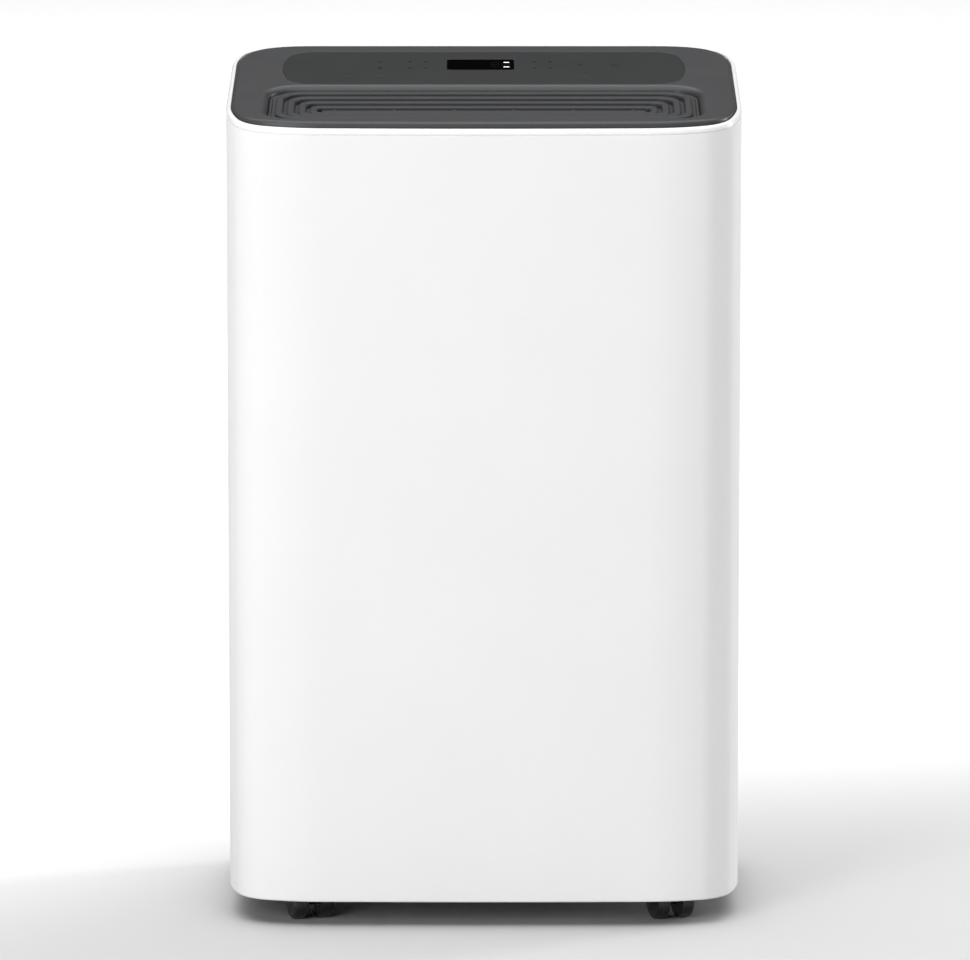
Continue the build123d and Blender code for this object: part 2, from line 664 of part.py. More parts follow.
def main_board():
    """The power board with its relay, filter choke and terminal row."""
    x0, x1, y0, y1, z0, z1 = BOX_AT
    y = y0 + 10
    board = block(x0 + 8, x1 - 8, y, y + 1.6, z0 + 8, z1 - 12)
    parts = [block(x0 + 16, x0 + 44, y + 1.6, y + 20, z0 + 20, z0 + 50),
             rod_y(12, x1 - 30, y + 1.6, y + 26, z0 + 36),
             block(x0 + 20, x1 - 20, y + 1.6, y + 14, z1 - 34, z1 - 20)]
    return board + parts


def run_capacitor():
    x0, x1, y0, y1, z0, z1 = BOX_AT
    can = rod_z(18, x1 - 36, y1 - 22, z0 + 2.2, z0 + 80)
    return fillet(can.edges().group_by(Axis.Z)[-1], 3)


# ---------------------------------------------------------------- back: inlet, drain, cord gland
def inlet_grille():
    """A clip-in panel of sloping slats that carries the air filter."""
    wide, high = INLET_SIZE
    y0, y1 = BACK - INLET_DEEP, BACK
    panel = panel_y(INLET_SIZE, 7.4, 0, y0, y1, INLET_Z)
    panel = fillet(panel.edges().group_by(Axis.Y)[-1], 1.2)
    panel -= panel_y((wide - 20, high - 20), 4, 0, y0 - 1, y1 + 1, INLET_Z)
    slats = []
    count = int((high - 20) / SLAT_PITCH)
    first = INLET_Z - (count - 1) * SLAT_PITCH / 2
    for i in range(count):
        slat = Rot(-30, 0, 0) * Box(wide - 18, 7, 1.8)
        slats.append(Pos(0, y0 + 5.6, first + i * SLAT_PITCH) * slat)
    for x in (-78, -26, 26, 78):
        slats.append(block(x - 1.2, x + 1.2, y0 + 0.2, y0 + 4.2, INLET_Z - high / 2 + 8, INLET_Z + high / 2 - 8))
    return panel + slats


def filter_frame():
    wide, high = INLET_SIZE[0] - 14, INLET_SIZE[1] - 14
    y1 = BACK - INLET_DEEP - 0.3
    frame = panel_y((wide, high), 5, 0, y1 - 7, y1, INLET_Z)
    frame -= panel_y((wide - 16, high - 16), 3, 0, y1 - 8, y1 + 1, INLET_Z)
    for x in (-wide / 6, wide / 6):
        frame += block(x - 2, x + 2, y1 - 7, y1 - 4.2, INLET_Z - high / 2 + 6, INLET_Z + high / 2 - 6)
    frame += block(-wide / 2 + 6, wide / 2 - 6, y1 - 7, y1 - 4.2, INLET_Z - 2, INLET_Z + 2)
    return frame


def filter_mesh():
    wide, high = INLET_SIZE[0] - 14, INLET_SIZE[1] - 14
    y1 = BACK - INLET_DEEP - 0.3
    return panel_y((wide - 16.2, high - 16.2), 2.8, 0, y1 - 4.1, y1 - 3.1, INLET_Z)


def drain_port():
    """A spigot for a drain hose, sunk in a round cup in the rear casing."""
    x, z = DRAIN_AT
    cup = rod_y(CUP_R, x, BACK - 18, BACK - 0.2, z) - rod_y(CUP_R - 2, x, BACK - 16, BACK + 1, z)
    cup += rod_y(CUP_R + 3, x, BACK - WALL - 2.2, BACK - WALL - LAP, z) - rod_y(CUP_R - 1, x, BACK - 10, BACK, z)
    cup += rod_y(SPIGOT_R, x, BACK - 30, BACK - 2, z)
    return cup - rod_y(6.5, x, BACK - 31, BACK, z)


def drain_cap():
    x, z = DRAIN_AT
    knob = rod_y(8.4, x, BACK - 1.9, BACK, z)
    knob = fillet(knob.edges().group_by(Axis.Y)[-1], 0.8)
    plug = rod_y(6.4, x, BACK - 14, BACK - 1.9, z)
    return knob + plug


def cord_gland():
    """The bush that the supply cord comes out of."""
    x, z = GLAND_AT
    bush = rod_y(11, x, BACK - WALL - 1, BACK, z)
    bush = fillet(bush.edges().group_by(Axis.Y)[-1], 0.9)
    bush += rod_y(13.5, x, BACK - WALL - 3.2, BACK - WALL - LAP, z) + rod_y(9, x, BACK - 20, BACK - 5, z)
    return bush - rod_y(3.6, x, BACK - 30, BACK + 1, z)


# ---------------------------------------------------------------- bucket
GRIP_SIZE = (96.0, 26.0)
GRIP_Z = 200.0
GRIP_DEEP = 22.0
WINDOW_SIZE = (12.0, 118.0)
WINDOW_AT = (96.0, 128.0)     # x, z


def bucket():
    """The open water bucket, with a finger pocket in its outer wall and a guide for the float."""
    y1 = BACK - WALL - LAP
    half, wall = BUCKET_HALF, BUCKET_WALL
    mid, deep = (BUCKET_FRONT + y1) / 2, y1 - BUCKET_FRONT
    body = panel_z((2 * half, deep), 10, 0, mid, BUCKET_FLOOR, BUCKET_RIM)
    body = fillet(body.edges().group_by(Axis.Z)[0], 6)
    body -= panel_z((2 * (half - wall), deep - 2 * wall), 8, 0, mid, BUCKET_FLOOR + wall, BUCKET_RIM + 1)
    pocket = panel_y((GRIP_SIZE[0] + 4, GRIP_SIZE[1] + 4), 10, 0, y1 - GRIP_DEEP, y1 - 0.5, GRIP_Z)
    body += pocket
    body -= panel_y(GRIP_SIZE, 8, 0, y1 - GRIP_DEEP + wall, y1 + 1, GRIP_Z)
    x, y = FLOAT_AT
    body += block(x - 24, x + 24, BUCKET_FRONT + 1, y + 22, 162, 164.5)
    body += block(x - 24, x + 24, BUCKET_FRONT + 1, y + 22, 212, 214.5)
    body -= rod_z(10, x, y, 160, 166)
    body -= rod_z(3.4, x, y, 210, 216)
    body -= rod_x(3 + RUN_GAP, -half - 1, half + 1, BAIL_Y, BAIL_Z)
    return body


def bucket_face():
    """The white front of the bucket, flush with the rear casing."""
    size = (2 * FACE_HALF, FACE_HIGH - FACE_LOW)
    z = (FACE_LOW + FACE_HIGH) / 2
    face = panel_y(size, 7.4, 0, BACK - WALL, BACK, z)
    face = fillet(face.edges().group_by(Axis.Y)[-1], 0.8)
    face -= panel_y(GRIP_SIZE, 8, 0, BACK - 5, BACK + 1, GRIP_Z)
    return face - panel_y(WINDOW_SIZE, 5.9, WINDOW_AT[0], BACK - 5, BACK + 1, WINDOW_AT[1])


def bucket_window():
    size = (WINDOW_SIZE[0] - 0.2, WINDOW_SIZE[1] - 0.2)
    return panel_y(size, 5.8, WINDOW_AT[0], BACK - WALL, BACK - 0.4, WINDOW_AT[1])


def bucket_handle():
    """A bail that folds flat between the bucket's side walls."""
    y, z, reach = BAIL_Y, BAIL_Z, BAIL_ARM
    arm = block(BAIL_HALF - 5, BAIL_HALF, y - 5, y + reach, z - 3, z + 5)
    arm += rod_x(5, BAIL_HALF - 5, BAIL_HALF, y, z)
    pin = rod_x(3, BAIL_HALF - 0.5, BUCKET_HALF, y, z)
    grip = block(-BAIL_HALF + 1, BAIL_HALF - 1, y + reach - 14, y + reach, z - 3, z + 5)
    grip = fillet(grip.edges().filter_by(Axis.X), 3)
    side = arm + pin
    return side + mirror(side, about=Plane.YZ) + grip


def float_block():
    """A foam block on a stem that rises with the last of the water."""
    x, y = FLOAT_AT
    foam = panel_z((40, 32), 6, x, y, 165, 191)
    return foam + rod_z(3, x, y, 190, 219)


def level_sensor():
    """The sensor under the shelf that feels the magnet in the float's stem."""
    x, y = FLOAT_AT
    return block(x - 8, x + 8, y - 10, y + 10, 238, 250) + block(x - 4, x + 4, y - 5, y + 5, 249, SHELF_Z - 0.1)


# ---------------------------------------------------------------- casters
def caster_housing():
    """A web between the wheels, a hood over them and a boss around the stem."""
    web = rod_x(8, -3.6, 3.6, -TRAIL, WHEEL_R)
    web += block(-3.6, 3.6, -TRAIL - 6, 6, WHEEL_R + 2, 38)
    hood = rod_x(WHEEL_R + 4, -17, 17, -TRAIL, WHEEL_R) - rod_x(WHEEL_R + 1.6, -18, 18, -TRAIL, WHEEL_R)
    hood &= block(-20, 20, -TRAIL - 30, 20, WHEEL_R + 6, 60)
    boss = rod_z(8, 0, 0, 29, DECK_Z - 4.2)
    body = web + hood + boss
    body -= rod_x(AXLE_R, -10, 10, -TRAIL, WHEEL_R)
    body -= rod_z(STEM_R + RUN_GAP, 0, 0, 31, 60)
    wheels = rod_x(WHEEL_R + 1, 4.2, 20, -TRAIL, WHEEL_R)
    return body - wheels - mirror(wheels, about=Plane.YZ)


def caster_wheel():
    """The wheel on the +X side: a tread with rounded edges and a domed outer face."""
    inner, rim, dome = 4.6, 14.4, 17.0
    edge = WHEEL_R - 2.2
    outline = [Line((AXLE_R + RUN_GAP, inner), (WHEEL_R - 1, inner)),
               ThreePointArc((WHEEL_R - 1, inner), (WHEEL_R - 0.293, inner + 0.293), (WHEEL_R, inner + 1)),
               Line((WHEEL_R, inner + 1), (WHEEL_R, rim - 2.2)),
               ThreePointArc((WHEEL_R, rim - 2.2), (edge + 1.556, rim - 0.644), (edge, rim)),
               Line((edge, rim), (0, dome)), Line((0, dome), (0, 15.4)),
               Line((0, 15.4), (AXLE_R + RUN_GAP, 15.4)), Line((AXLE_R + RUN_GAP, 15.4), (AXLE_R + RUN_GAP, inner))]
    profile = make_face(outline)
    wheel = revolve(profile, Axis.Y)
    groove = Pos(0, rim + 1.4, 0) * Rot(90, 0, 0) * (Cylinder(11.5, 1.6) - Cylinder(10.3, 1.6))
    wheel -= groove
    return Pos(0, -TRAIL, WHEEL_R) * Rot(0, 0, -90) * wheel


def caster_axle():
    return rod_x(AXLE_R, -15.2, 15.2, -TRAIL, WHEEL_R)


def caster_stems():
    """Steel stems pressed into the base; each housing turns on its stem."""
    stem = rod_z(STEM_R, 0, 0, 31.5, DECK_Z + STEM_TOP)
    return [s for x, y in caster_places().values() for s in (Pos(x, y, 0) * stem).solids()]


def caster_nodes():
    wheel = caster_wheel()
    pieces = {"housing": caster_housing(), "axle": caster_axle(), "wheel_right": wheel,
              "wheel_left": mirror(wheel, about=Plane.YZ)}
    nodes = {}
    for place, (x, y) in caster_places().items():
        for piece, shape in pieces.items():
            nodes[f"caster_{place}_{piece}"] = Pos(x, y, 0) * Rot(0, 0, CASTER_TURN) * shape
    return nodes


# ---------------------------------------------------------------- the whole machine
NODES = {
    "front_casing": front_casing, "rear_casing": rear_casing, "casing_screws": casing_screws,
    "side_handles": side_handles, "top_bezel": top_bezel, "top_cover": top_cover,
    "control_panel": control_panel, "display_window": display_window, "display_board": display_board,
    "outlet_grille": outlet_grille, "base_pan": base_pan, "divider_shelf": divider_shelf,
    "compressor": compressor, "compressor_grommets": compressor_grommets, "compressor_bolts": compressor_bolts,
    "evaporator_fins": lambda: fin_pack(EVAPORATOR_Y), "evaporator_tubes": lambda: coil_tubes(EVAPORATOR_Y),
    "condenser_fins": lambda: fin_pack(CONDENSER_Y), "condenser_tubes": lambda: coil_tubes(CONDENSER_Y),
    "drain_tray": drain_tray, "suction_pipe": suction_pipe, "discharge_pipe": discharge_pipe,
    "fan_scroll": fan_scroll, "scroll_cover": scroll_cover, "fan_impeller": fan_impeller,
    "fan_motor": fan_motor, "motor_shaft": motor_shaft, "control_box": control_box,
    "control_box_lid": control_box_lid, "main_board": main_board, "run_capacitor": run_capacitor,
    "inlet_grille": inlet_grille, "filter_frame": filter_frame, "filter_mesh": filter_mesh,
    "drain_port": drain_port, "drain_cap": drain_cap, "cord_gland": cord_gland,
    "bucket": bucket, "bucket_face": bucket_face, "bucket_window": bucket_window,
    "bucket_handle": bucket_handle, "float_block": float_block, "level_sensor": level_sensor,
    "caster_stems": caster_stems,
}


def main():
    os.makedirs("parts", exist_ok=True)
    shapes = {name: make() for name, make in NODES.items()}
    shapes.update(caster_nodes())
    for name, shape in shapes.items():
        solids = shape if isinstance(shape, list) else shape.solids()
        export_step(Compound(children=list(solids)), f"parts/{name}.step")


main()
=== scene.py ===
"""Looks of the upright dehumidifier: shells, top, grille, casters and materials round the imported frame."""
import json
from math import asin, atan2, cos, pi, radians, sin, tan

import bmesh
import bpy
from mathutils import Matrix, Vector


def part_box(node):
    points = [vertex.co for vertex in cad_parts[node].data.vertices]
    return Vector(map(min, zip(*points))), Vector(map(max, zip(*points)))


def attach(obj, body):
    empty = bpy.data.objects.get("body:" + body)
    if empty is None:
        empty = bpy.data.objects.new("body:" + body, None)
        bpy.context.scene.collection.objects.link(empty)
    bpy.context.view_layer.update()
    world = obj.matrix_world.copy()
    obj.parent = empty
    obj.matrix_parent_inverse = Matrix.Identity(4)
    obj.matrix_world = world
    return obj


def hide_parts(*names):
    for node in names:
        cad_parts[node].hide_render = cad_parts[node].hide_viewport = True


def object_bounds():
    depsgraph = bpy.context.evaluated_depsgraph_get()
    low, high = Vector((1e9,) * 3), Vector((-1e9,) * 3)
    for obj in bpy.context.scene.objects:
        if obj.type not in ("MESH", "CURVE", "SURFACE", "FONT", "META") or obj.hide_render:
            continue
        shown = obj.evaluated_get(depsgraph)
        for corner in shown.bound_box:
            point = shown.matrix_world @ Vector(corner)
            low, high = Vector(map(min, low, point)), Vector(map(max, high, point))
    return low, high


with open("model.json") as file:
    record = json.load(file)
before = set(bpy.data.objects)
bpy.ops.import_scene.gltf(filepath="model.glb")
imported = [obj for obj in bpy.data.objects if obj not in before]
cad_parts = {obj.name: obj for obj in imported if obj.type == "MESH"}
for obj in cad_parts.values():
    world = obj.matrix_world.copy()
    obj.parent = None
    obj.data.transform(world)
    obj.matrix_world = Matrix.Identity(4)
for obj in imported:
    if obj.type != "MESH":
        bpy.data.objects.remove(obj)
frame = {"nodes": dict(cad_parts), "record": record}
CAD_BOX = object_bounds()
MM = 0.001

# ---------------------------------------------------------------- sizes, in metres
HALF = CAD_BOX[1].x
FRONT = CAD_BOX[0].y
DEPTH = CAD_BOX[1].y - CAD_BOX[0].y
WALL = 2.6 * MM
SEAM = 0.6 * MM
SEAM_DEPTH = 0.6 * MM                   # how deep the groove under the rim is
TILT = radians(7.95)                    # the top falls towards the front
SKIRT_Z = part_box("front_casing")[0].z
SPLIT_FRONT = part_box("front_casing")[1].y
SPLIT_REAR = SPLIT_FRONT + SEAM
RIM_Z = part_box("front_casing")[1].z - tan(TILT) * (SPLIT_FRONT - FRONT)   # the casing's rim at the front
SKIRT_ROUND = 1.6 * MM
EDGE_ROUND = 0.4 * MM

# plan outline: a bowed front and soft corners of three arcs
BOW_RADIUS = 5.0
SOFT_TURN = radians(18.0)
FRONT_SOFT, FRONT_TIGHT = 0.140, 0.036
BACK_SOFT, BACK_TIGHT = 0.110, 0.032

# top, heights are above the casing's rim and square to it
BEZEL_HEIGHT = 4.5 * MM
BEZEL_WIDTH = 3.4 * MM
BEZEL_ROUND = 2.6 * MM
CUP_FLANGE, CUP_CORNER = 6.0 * MM, 12.0 * MM      # what the finger cups' holes leave of the cups all round
LEDGE_REACH = 10.0 * MM                 # how far in the ledge under the cover goes
TONGUE_DEEP = 6.0 * MM                  # how far the bezel's tongue goes down inside the casing
COVER_INSET = 4.6 * MM
COVER_TOP = 6.0 * MM                    # above the casing's rim, at the back
COVER_LEAN = 2.6 * MM                   # how much further it stands above the rim at the front
DROOP_FROM = 0.146                      # beyond this x the cover's ends fall away
DROOP_DEEP = 2.6 * MM
COVER_ROUND = 2.2 * MM
PANEL_Y = 0.051
PANEL_HALF = (0.151, 0.0535)
PANEL_BULGE = 9.0 * MM
PANEL_CORNER = 20.0 * MM
PANEL_DEPTH = 1.2 * MM
GLASS_DROP = 0.1 * MM                   # the window lies this far below the panel
DISPLAY_AT = (-0.0026, 0.062)
DISPLAY_HALF = (25.1 * MM, 17.35 * MM)
OUTLET_Y = -0.0595
OUTLET_HALF = (0.159, 0.0495)
OUTLET_CORNER = 22.0 * MM
OUTLET_LIP = 5.5 * MM
OUTLET_WALL = 14.0 * MM
RING_FIRST = 8.4 * MM
RING_PITCH = 8.4 * MM
RING_BAR = 5.4 * MM
RING_COUNT = 4
RING_SPREAD = 1.17                      # the rings lie this much further apart from front to back
FLANGE = (0.3 * MM, 3.2 * MM)           # the flange's two edges, inwards from the outlet's wall
FLANGE_DROP = 4.6 * MM
RING_ROUND = 1.3 * MM
RING_DROP = 1.0 * MM
RING_STEP = 1.2 * MM
RING_LOW = 12.0 * MM                    # ring undersides below the cover's top
RIB_DROP = 7.6 * MM                     # rib tops below the cover's top
RIB_THICK = 2.2 * MM
RIB_X = [22.0 * MM * k for k in (-5, -3, -1, 1, 3, 5)]
WEB_FROM = 0.113                        # beyond this x the slots between the rings are closed grooves
WEB_DROP = 2.4 * MM                     # depth of those grooves


# ---------------------------------------------------------------- outlines
def arc_steps(turn, radius):
    """How many straight steps an arc is drawn with."""
    return max(6, int(turn / radians(3.0)), int(radius * turn / 0.02))


def plan_outline():
    """Points (x, y, nx, ny) round the casing's plan outline, anticlockwise from the middle of the front.

    nx, ny is the outward direction, so moving a point against it gives the inset outline exactly."""
    turn, soft, tight = SOFT_TURN, FRONT_SOFT, FRONT_TIGHT
    reach = tight * (cos(turn) - sin(turn)) + soft * (sin(turn) + 1 - cos(turn))
    bow_turn = asin((HALF - reach) / (BOW_RADIUS - soft))
    front_reach = (BOW_RADIUS * (1 - cos(bow_turn)) + soft * (cos(bow_turn) - cos(turn))
                   + tight * (cos(turn) - sin(turn)) + soft * sin(turn))
    back_reach = BACK_TIGHT * (cos(turn) - sin(turn)) + BACK_SOFT * (sin(turn) + 1 - cos(turn))
    moves = [("arc", BOW_RADIUS, bow_turn), ("arc", soft, turn - bow_turn), ("arc", tight, pi / 2 - 2 * turn),
             ("arc", soft, turn), ("line", DEPTH - front_reach - back_reach), ("arc", BACK_SOFT, turn),
             ("arc", BACK_TIGHT, pi / 2 - 2 * turn), ("arc", BACK_SOFT, turn), ("line", HALF - back_reach)]
    x, y, heading = 0.0, FRONT, 0.0
    right = [(x, y, 0.0, -1.0)]
    for kind, *amounts in moves:
        steps = 8 if kind == "line" else arc_steps(amounts[1], amounts[0])
        start = heading
        if kind == "arc":
            radius, angle = amounts
            cx, cy = x - sin(start) * radius, y + cos(start) * radius
        for i in range(1, steps + 1):
            if kind == "line":
                px = x + cos(heading) * amounts[0] * i / steps
                py = y + sin(heading) * amounts[0] * i / steps
            else:
                heading = start + angle * i / steps
                px, py = cx + sin(heading) * radius, cy - cos(heading) * radius
            right.append((px, py, sin(heading), -cos(heading)))
        x, y = right[-1][:2]
    left = [(-px, py, -nx, ny) for px, py, nx, ny in reversed(right[1:-1])]
    return right + left


def rounded_rect(half, corner, middle=(0.0, 0.0), along=8, around=8):
    """Points (x, y, nx, ny) round a rectangle with round corners, anticlockwise."""
    points = []
    for quarter in range(4):
        a0 = quarter * pi / 2
        sx, sy = ((1, 1), (-1, 1), (-1, -1), (1, -1))[quarter]
        cx, cy = sx * (half[0] - corner), sy * (half[1] - corner)
        for i in range(around + 1):
            a = a0 + pi / 2 * i / around
            points.append((cx + corner * cos(a), cy + corner * sin(a), cos(a), sin(a)))
        nx, ny = cos(a), sin(a)
        ahead = ((-1, 1), (-1, -1), (1, -1), (1, 1))[quarter]
        goal_x = ahead[0] * (half[0] - corner) + corner * nx
        goal_y = ahead[1] * (half[1] - corner) + corner * ny
        x, y = points[-1][:2]
        for i in range(1, along):
            t = i / along
            points.append((x + (goal_x - x) * t, y + (goal_y - y) * t, nx, ny))
    return [(x + middle[0], y + middle[1], nx, ny) for x, y, nx, ny in points]


def panel_outline(inset=0.0):
    """The touch panel: straight long sides, bulged ends, round corners."""
    wide, deep = PANEL_HALF[0] - inset, PANEL_HALF[1] - inset
    radius = (deep ** 2 + PANEL_BULGE ** 2) / (2 * PANEL_BULGE)
    corner = PANEL_CORNER - inset
    bulge_x = wide - radius
    cy = deep - corner
    cx = bulge_x + ((radius - corner) ** 2 - cy ** 2) ** 0.5
    join = atan2(cy, cx - bulge_x)
    quarter = [(bulge_x + radius * cos(a), radius * sin(a), cos(a), sin(a))
               for a in (join * i / 8 for i in range(8))]
    quarter += [(cx + corner * cos(a), cy + corner * sin(a), cos(a), sin(a))
                for a in (join + (pi / 2 - join) * i / 12 for i in range(13))]
    quarter += [(cx * (1 - i / 6), deep, 0.0, 1.0) for i in range(1, 7)]
    top = quarter + [(-x, y, -nx, ny) for x, y, nx, ny in reversed(quarter[:-1])]
    loop = top + [(x, -y, nx, -ny) for x, y, nx, ny in reversed(top[1:-1])]
    return [(x, y + PANEL_Y, nx, ny) for x, y, nx, ny in loop]


def rim_z(y, offset=0.0):
    """Height at y of the plane that lies this far above the casing's rim, square to it."""
    return RIM_Z + tan(TILT) * (y - FRONT) + offset / cos(TILT)


def quarter_turn(steps):
    """Angles from 0 to a right angle."""
    return [pi / 2 * i / steps for i in range(steps + 1)]


# ---------------------------------------------------------------- meshes
def add_object(name, bm, smooth_angle=40.0):
    """Turns a bmesh into an object, smooth but for edges sharper than the angle."""
    bmesh.ops.recalc_face_normals(bm, faces=bm.faces)
    for face in bm.faces:
        face.smooth = True
    for edge in bm.edges:
        edge.smooth = edge.is_manifold and edge.calc_face_angle(0.0) < radians(smooth_angle)
    mesh = bpy.data.meshes.new(name)
    bm.to_mesh(mesh)
    bm.free()
    obj = bpy.data.objects.new(name, mesh)
    bpy.context.scene.collection.objects.link(obj)
    weighted = obj.modifiers.new("even_normals", "WEIGHTED_NORMAL")
    weighted.keep_sharp = True
    weighted.mode = "FACE_AREA"
    return obj


def loft(bm, outline, rows, closed=True, wrap=True):
    """Skins rows of (inset, height) round an outline. height is a function of y or a number.

    A point may have a fifth value, the least inset that it takes on the outside of the wall.
    """
    grid = []
    for inset, height in rows:
        ring = []
        for point in outline:
            x, y, nx, ny = point[:4]
            pull = max(inset, point[4]) if len(point) > 4 and inset < WALL / 2 else inset
            px, py = x - nx * pull, y - ny * pull
            ring.append(bm.verts.new((px, py, height(py) if callable(height) else height)))
        grid.append(ring)
    count = len(outline)
    pairs = list(zip(grid, grid[1:] + grid[:1])) if wrap else list(zip(grid, grid[1:]))
    for low, high in pairs:
        for i in range(count if closed else count - 1):
            j = (i + 1) % count
            bm.faces.new((low[i], low[j], high[j], high[i]))
    if not closed and wrap:
        bm.faces.new([ring[0] for ring in grid])
        bm.faces.new([ring[-1] for ring in grid])
    return grid


def above(offset):
    """A height function: this far above the casing's rim."""
    return lambda y: rim_z(y, offset)


def over(drop):
    """A height function: this far below the cover's top, which slopes a little less than the rim."""
    return lambda y: rim_z(y, COVER_TOP - drop) + COVER_LEAN * (FRONT + DEPTH - y) / DEPTH


def fill_between(bm, loops):
    """Fills the flat area between closed loops of vertices."""
    edges = []
    for ring in loops:
        for a, b in zip(ring, ring[1:] + ring[:1]):
            edges.append(bm.edges.get((a, b)) or bm.edges.new((a, b)))
    bmesh.ops.triangle_fill(bm, edges=edges, use_beauty=True, use_dissolve=False)


def refine(node, bevel, smooth_angle=35.0, name=None):
    """A finer piece made from a CAD node's surface: welded, with rounded edges and even normals."""
    bm = bmesh.new()
    bm.from_mesh(frame["nodes"][node].data)
    bmesh.ops.remove_doubles(bm, verts=bm.verts, dist=2e-6)
    bmesh.ops.dissolve_limit(bm, angle_limit=radians(0.4), verts=bm.verts, edges=bm.edges)
    bmesh.ops.dissolve_degenerate(bm, dist=1e-6, edges=bm.edges)
    sharp = [e for e in bm.edges if e.is_manifold and e.calc_face_angle(0.0) > radians(smooth_angle)]
    bmesh.ops.bevel(bm, geom=sharp, offset=bevel, segments=2, profile=0.5, affect="EDGES", clamp_overlap=True,
                    loop_slide=True)
    return add_object(name or node + "_fine", bm, 50.0)


def place(obj, body, slot, material, *nodes):
    """Gives a piece its material and body, and hides the CAD nodes that it stands for; slot is not used."""
    obj.data.materials.clear()
    obj.data.materials.append(material)
    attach(obj, body)
    if nodes:
        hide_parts(*nodes)
    return obj


# ---------------------------------------------------------------- materials
class Shader:
    """A node material with a Principled surface and a few ways to break it up."""

    def __init__(self, name, color, roughness, metallic=0.0, specular=0.5):
        self.material = bpy.data.materials.new(name)
        self.material.use_nodes = True
        tree = self.material.node_tree
        self.nodes, self.links = tree.nodes, tree.links
        self.surface = self.nodes["Principled BSDF"]
        self.color, self.roughness = color, roughness
        self.set("Base Color", (*color, 1.0))
        self.set("Roughness", roughness)
        self.set("Metallic", metallic)
        self.set("Specular IOR Level", specular)
        self.where = self.nodes.new("ShaderNodeTexCoord").outputs["Object"]
        self.normal = None

    def set(self, socket, value):
        self.surface.inputs[socket].default_value = value
        return self

    def noise(self, scale, detail=3.0, stretch=None):
        """Noise over the object; scale is its features per metre."""
        vector = self.where
        if stretch:
            mapping = self.nodes.new("ShaderNodeMapping")
            mapping.inputs["Scale"].default_value = stretch
            self.links.new(vector, mapping.inputs["Vector"])
            vector = mapping.outputs["Vector"]
        node = self.nodes.new("ShaderNodeTexNoise")
        node.inputs["Scale"].default_value = scale
        node.inputs["Detail"].default_value = detail
        self.links.new(vector, node.inputs["Vector"])
        return node.outputs["Fac"]

    def mottle(self, scale, amount):
        """Lets the colour drift lighter and darker by this share."""
        ramp = self.nodes.new("ShaderNodeMix")
        ramp.data_type = "RGBA"
        ramp.inputs[6].default_value = (*[c * (1 - amount) for c in self.color], 1.0)
        ramp.inputs[7].default_value = (*[min(1.0, c * (1 + amount)) for c in self.color], 1.0)
        self.links.new(self.noise(scale, 4.0), ramp.inputs[0])
        self.links.new(ramp.outputs[2], self.surface.inputs["Base Color"])
        return self

    def patchy_gloss(self, scale, amount, stretch=None):
        """Lets the roughness drift by this much each way."""
        span = self.nodes.new("ShaderNodeMapRange")
        span.inputs["To Min"].default_value = max(0.02, self.roughness - amount)
        span.inputs["To Max"].default_value = min(1.0, self.roughness + amount)
        self.links.new(self.noise(scale, 5.0, stretch), span.inputs["Value"])
        self.links.new(span.outputs["Result"], self.surface.inputs["Roughness"])
        return self

    def bump(self, height, size, strength=0.5, detail=2.0, stretch=None, source=None):
        """Adds relief: size is the width of its features, in metres."""
        node = self.nodes.new("ShaderNodeBump")
        node.inputs["Strength"].default_value = strength
        node.inputs["Distance"].default_value = height
        self.links.new(source or self.noise(1.0 / size, detail, stretch), node.inputs["Height"])
        if self.normal:
            self.links.new(self.normal, node.inputs["Normal"])
        self.normal = node.outputs["Normal"]
        self.links.new(self.normal, self.surface.inputs["Normal"])
        return self

    def paint_shade_fade(self, near, far, start, end, way):
        """Painted shade: lets a grey go from near to far between two places along a direction."""
        along = self.nodes.new("ShaderNodeVectorMath")
        along.operation = "DOT_PRODUCT"
        self.links.new(self.where, along.inputs[0])
        along.inputs[1].default_value = way
        span = self.nodes.new("ShaderNodeMapRange")
        span.interpolation_type = "SMOOTHSTEP"
        for socket, value in (("From Min", start), ("From Max", end), ("To Min", near), ("To Max", far)):
            span.inputs[socket].default_value = value
        self.links.new(along.outputs["Value"], span.inputs["Value"])
        self.links.new(span.outputs["Result"], self.surface.inputs["Base Color"])
        return self

    def cells(self, size):
        """Round pits, as of spark-eroded moulds."""
        node = self.nodes.new("ShaderNodeTexVoronoi")
        node.inputs["Scale"].default_value = 1.0 / size
        self.links.new(self.where, node.inputs["Vector"])
        return node.outputs["Distance"]


def moulded(name, color, roughness, grain=0.35 * MM, depth=0.02 * MM, specular=0.5, coat=0.0):
    """Injection-moulded plastic: spark-eroded grain, faint flow marks and uneven gloss."""
    s = Shader(name, color, roughness, specular=specular)
    s.mottle(9.0, 0.02).patchy_gloss(35.0, 0.05)
    s.bump(depth * 3, 0.06, 0.25)
    s.bump(depth, grain, 0.6, source=s.cells(grain))
    s.set("Coat Weight", coat)
    s.set("Coat Roughness", 0.12)
    return s.material


def metal(name, color, roughness, brushed=None, size=0.5 * MM):
    s = Shader(name, color, roughness, metallic=1.0)
    s.mottle(60.0, 0.08).patchy_gloss(90.0, 0.10, brushed)
    s.bump(0.01 * MM, size, 0.5, stretch=brushed)
    return s.material


def woven(name, color):
    """Fine square net: two crossed sets of threads."""
    s = Shader(name, color, 0.75)
    waves = []
    for direction in ("X", "Z"):
        wave = s.nodes.new("ShaderNodeTexWave")
        wave.bands_direction = direction
        wave.inputs["Scale"].default_value = 300.0
        s.links.new(s.where, wave.inputs["Vector"])
        waves.append(wave.outputs["Fac"])
    both = s.nodes.new("ShaderNodeMath")
    both.operation = "MAXIMUM"
    s.links.new(waves[0], both.inputs[0])
    s.links.new(waves[1], both.inputs[1])
    s.mottle(500.0, 0.3)
    s.bump(0.4 * MM, 1 * MM, 1.0, source=both.outputs["Value"])
    return s.material


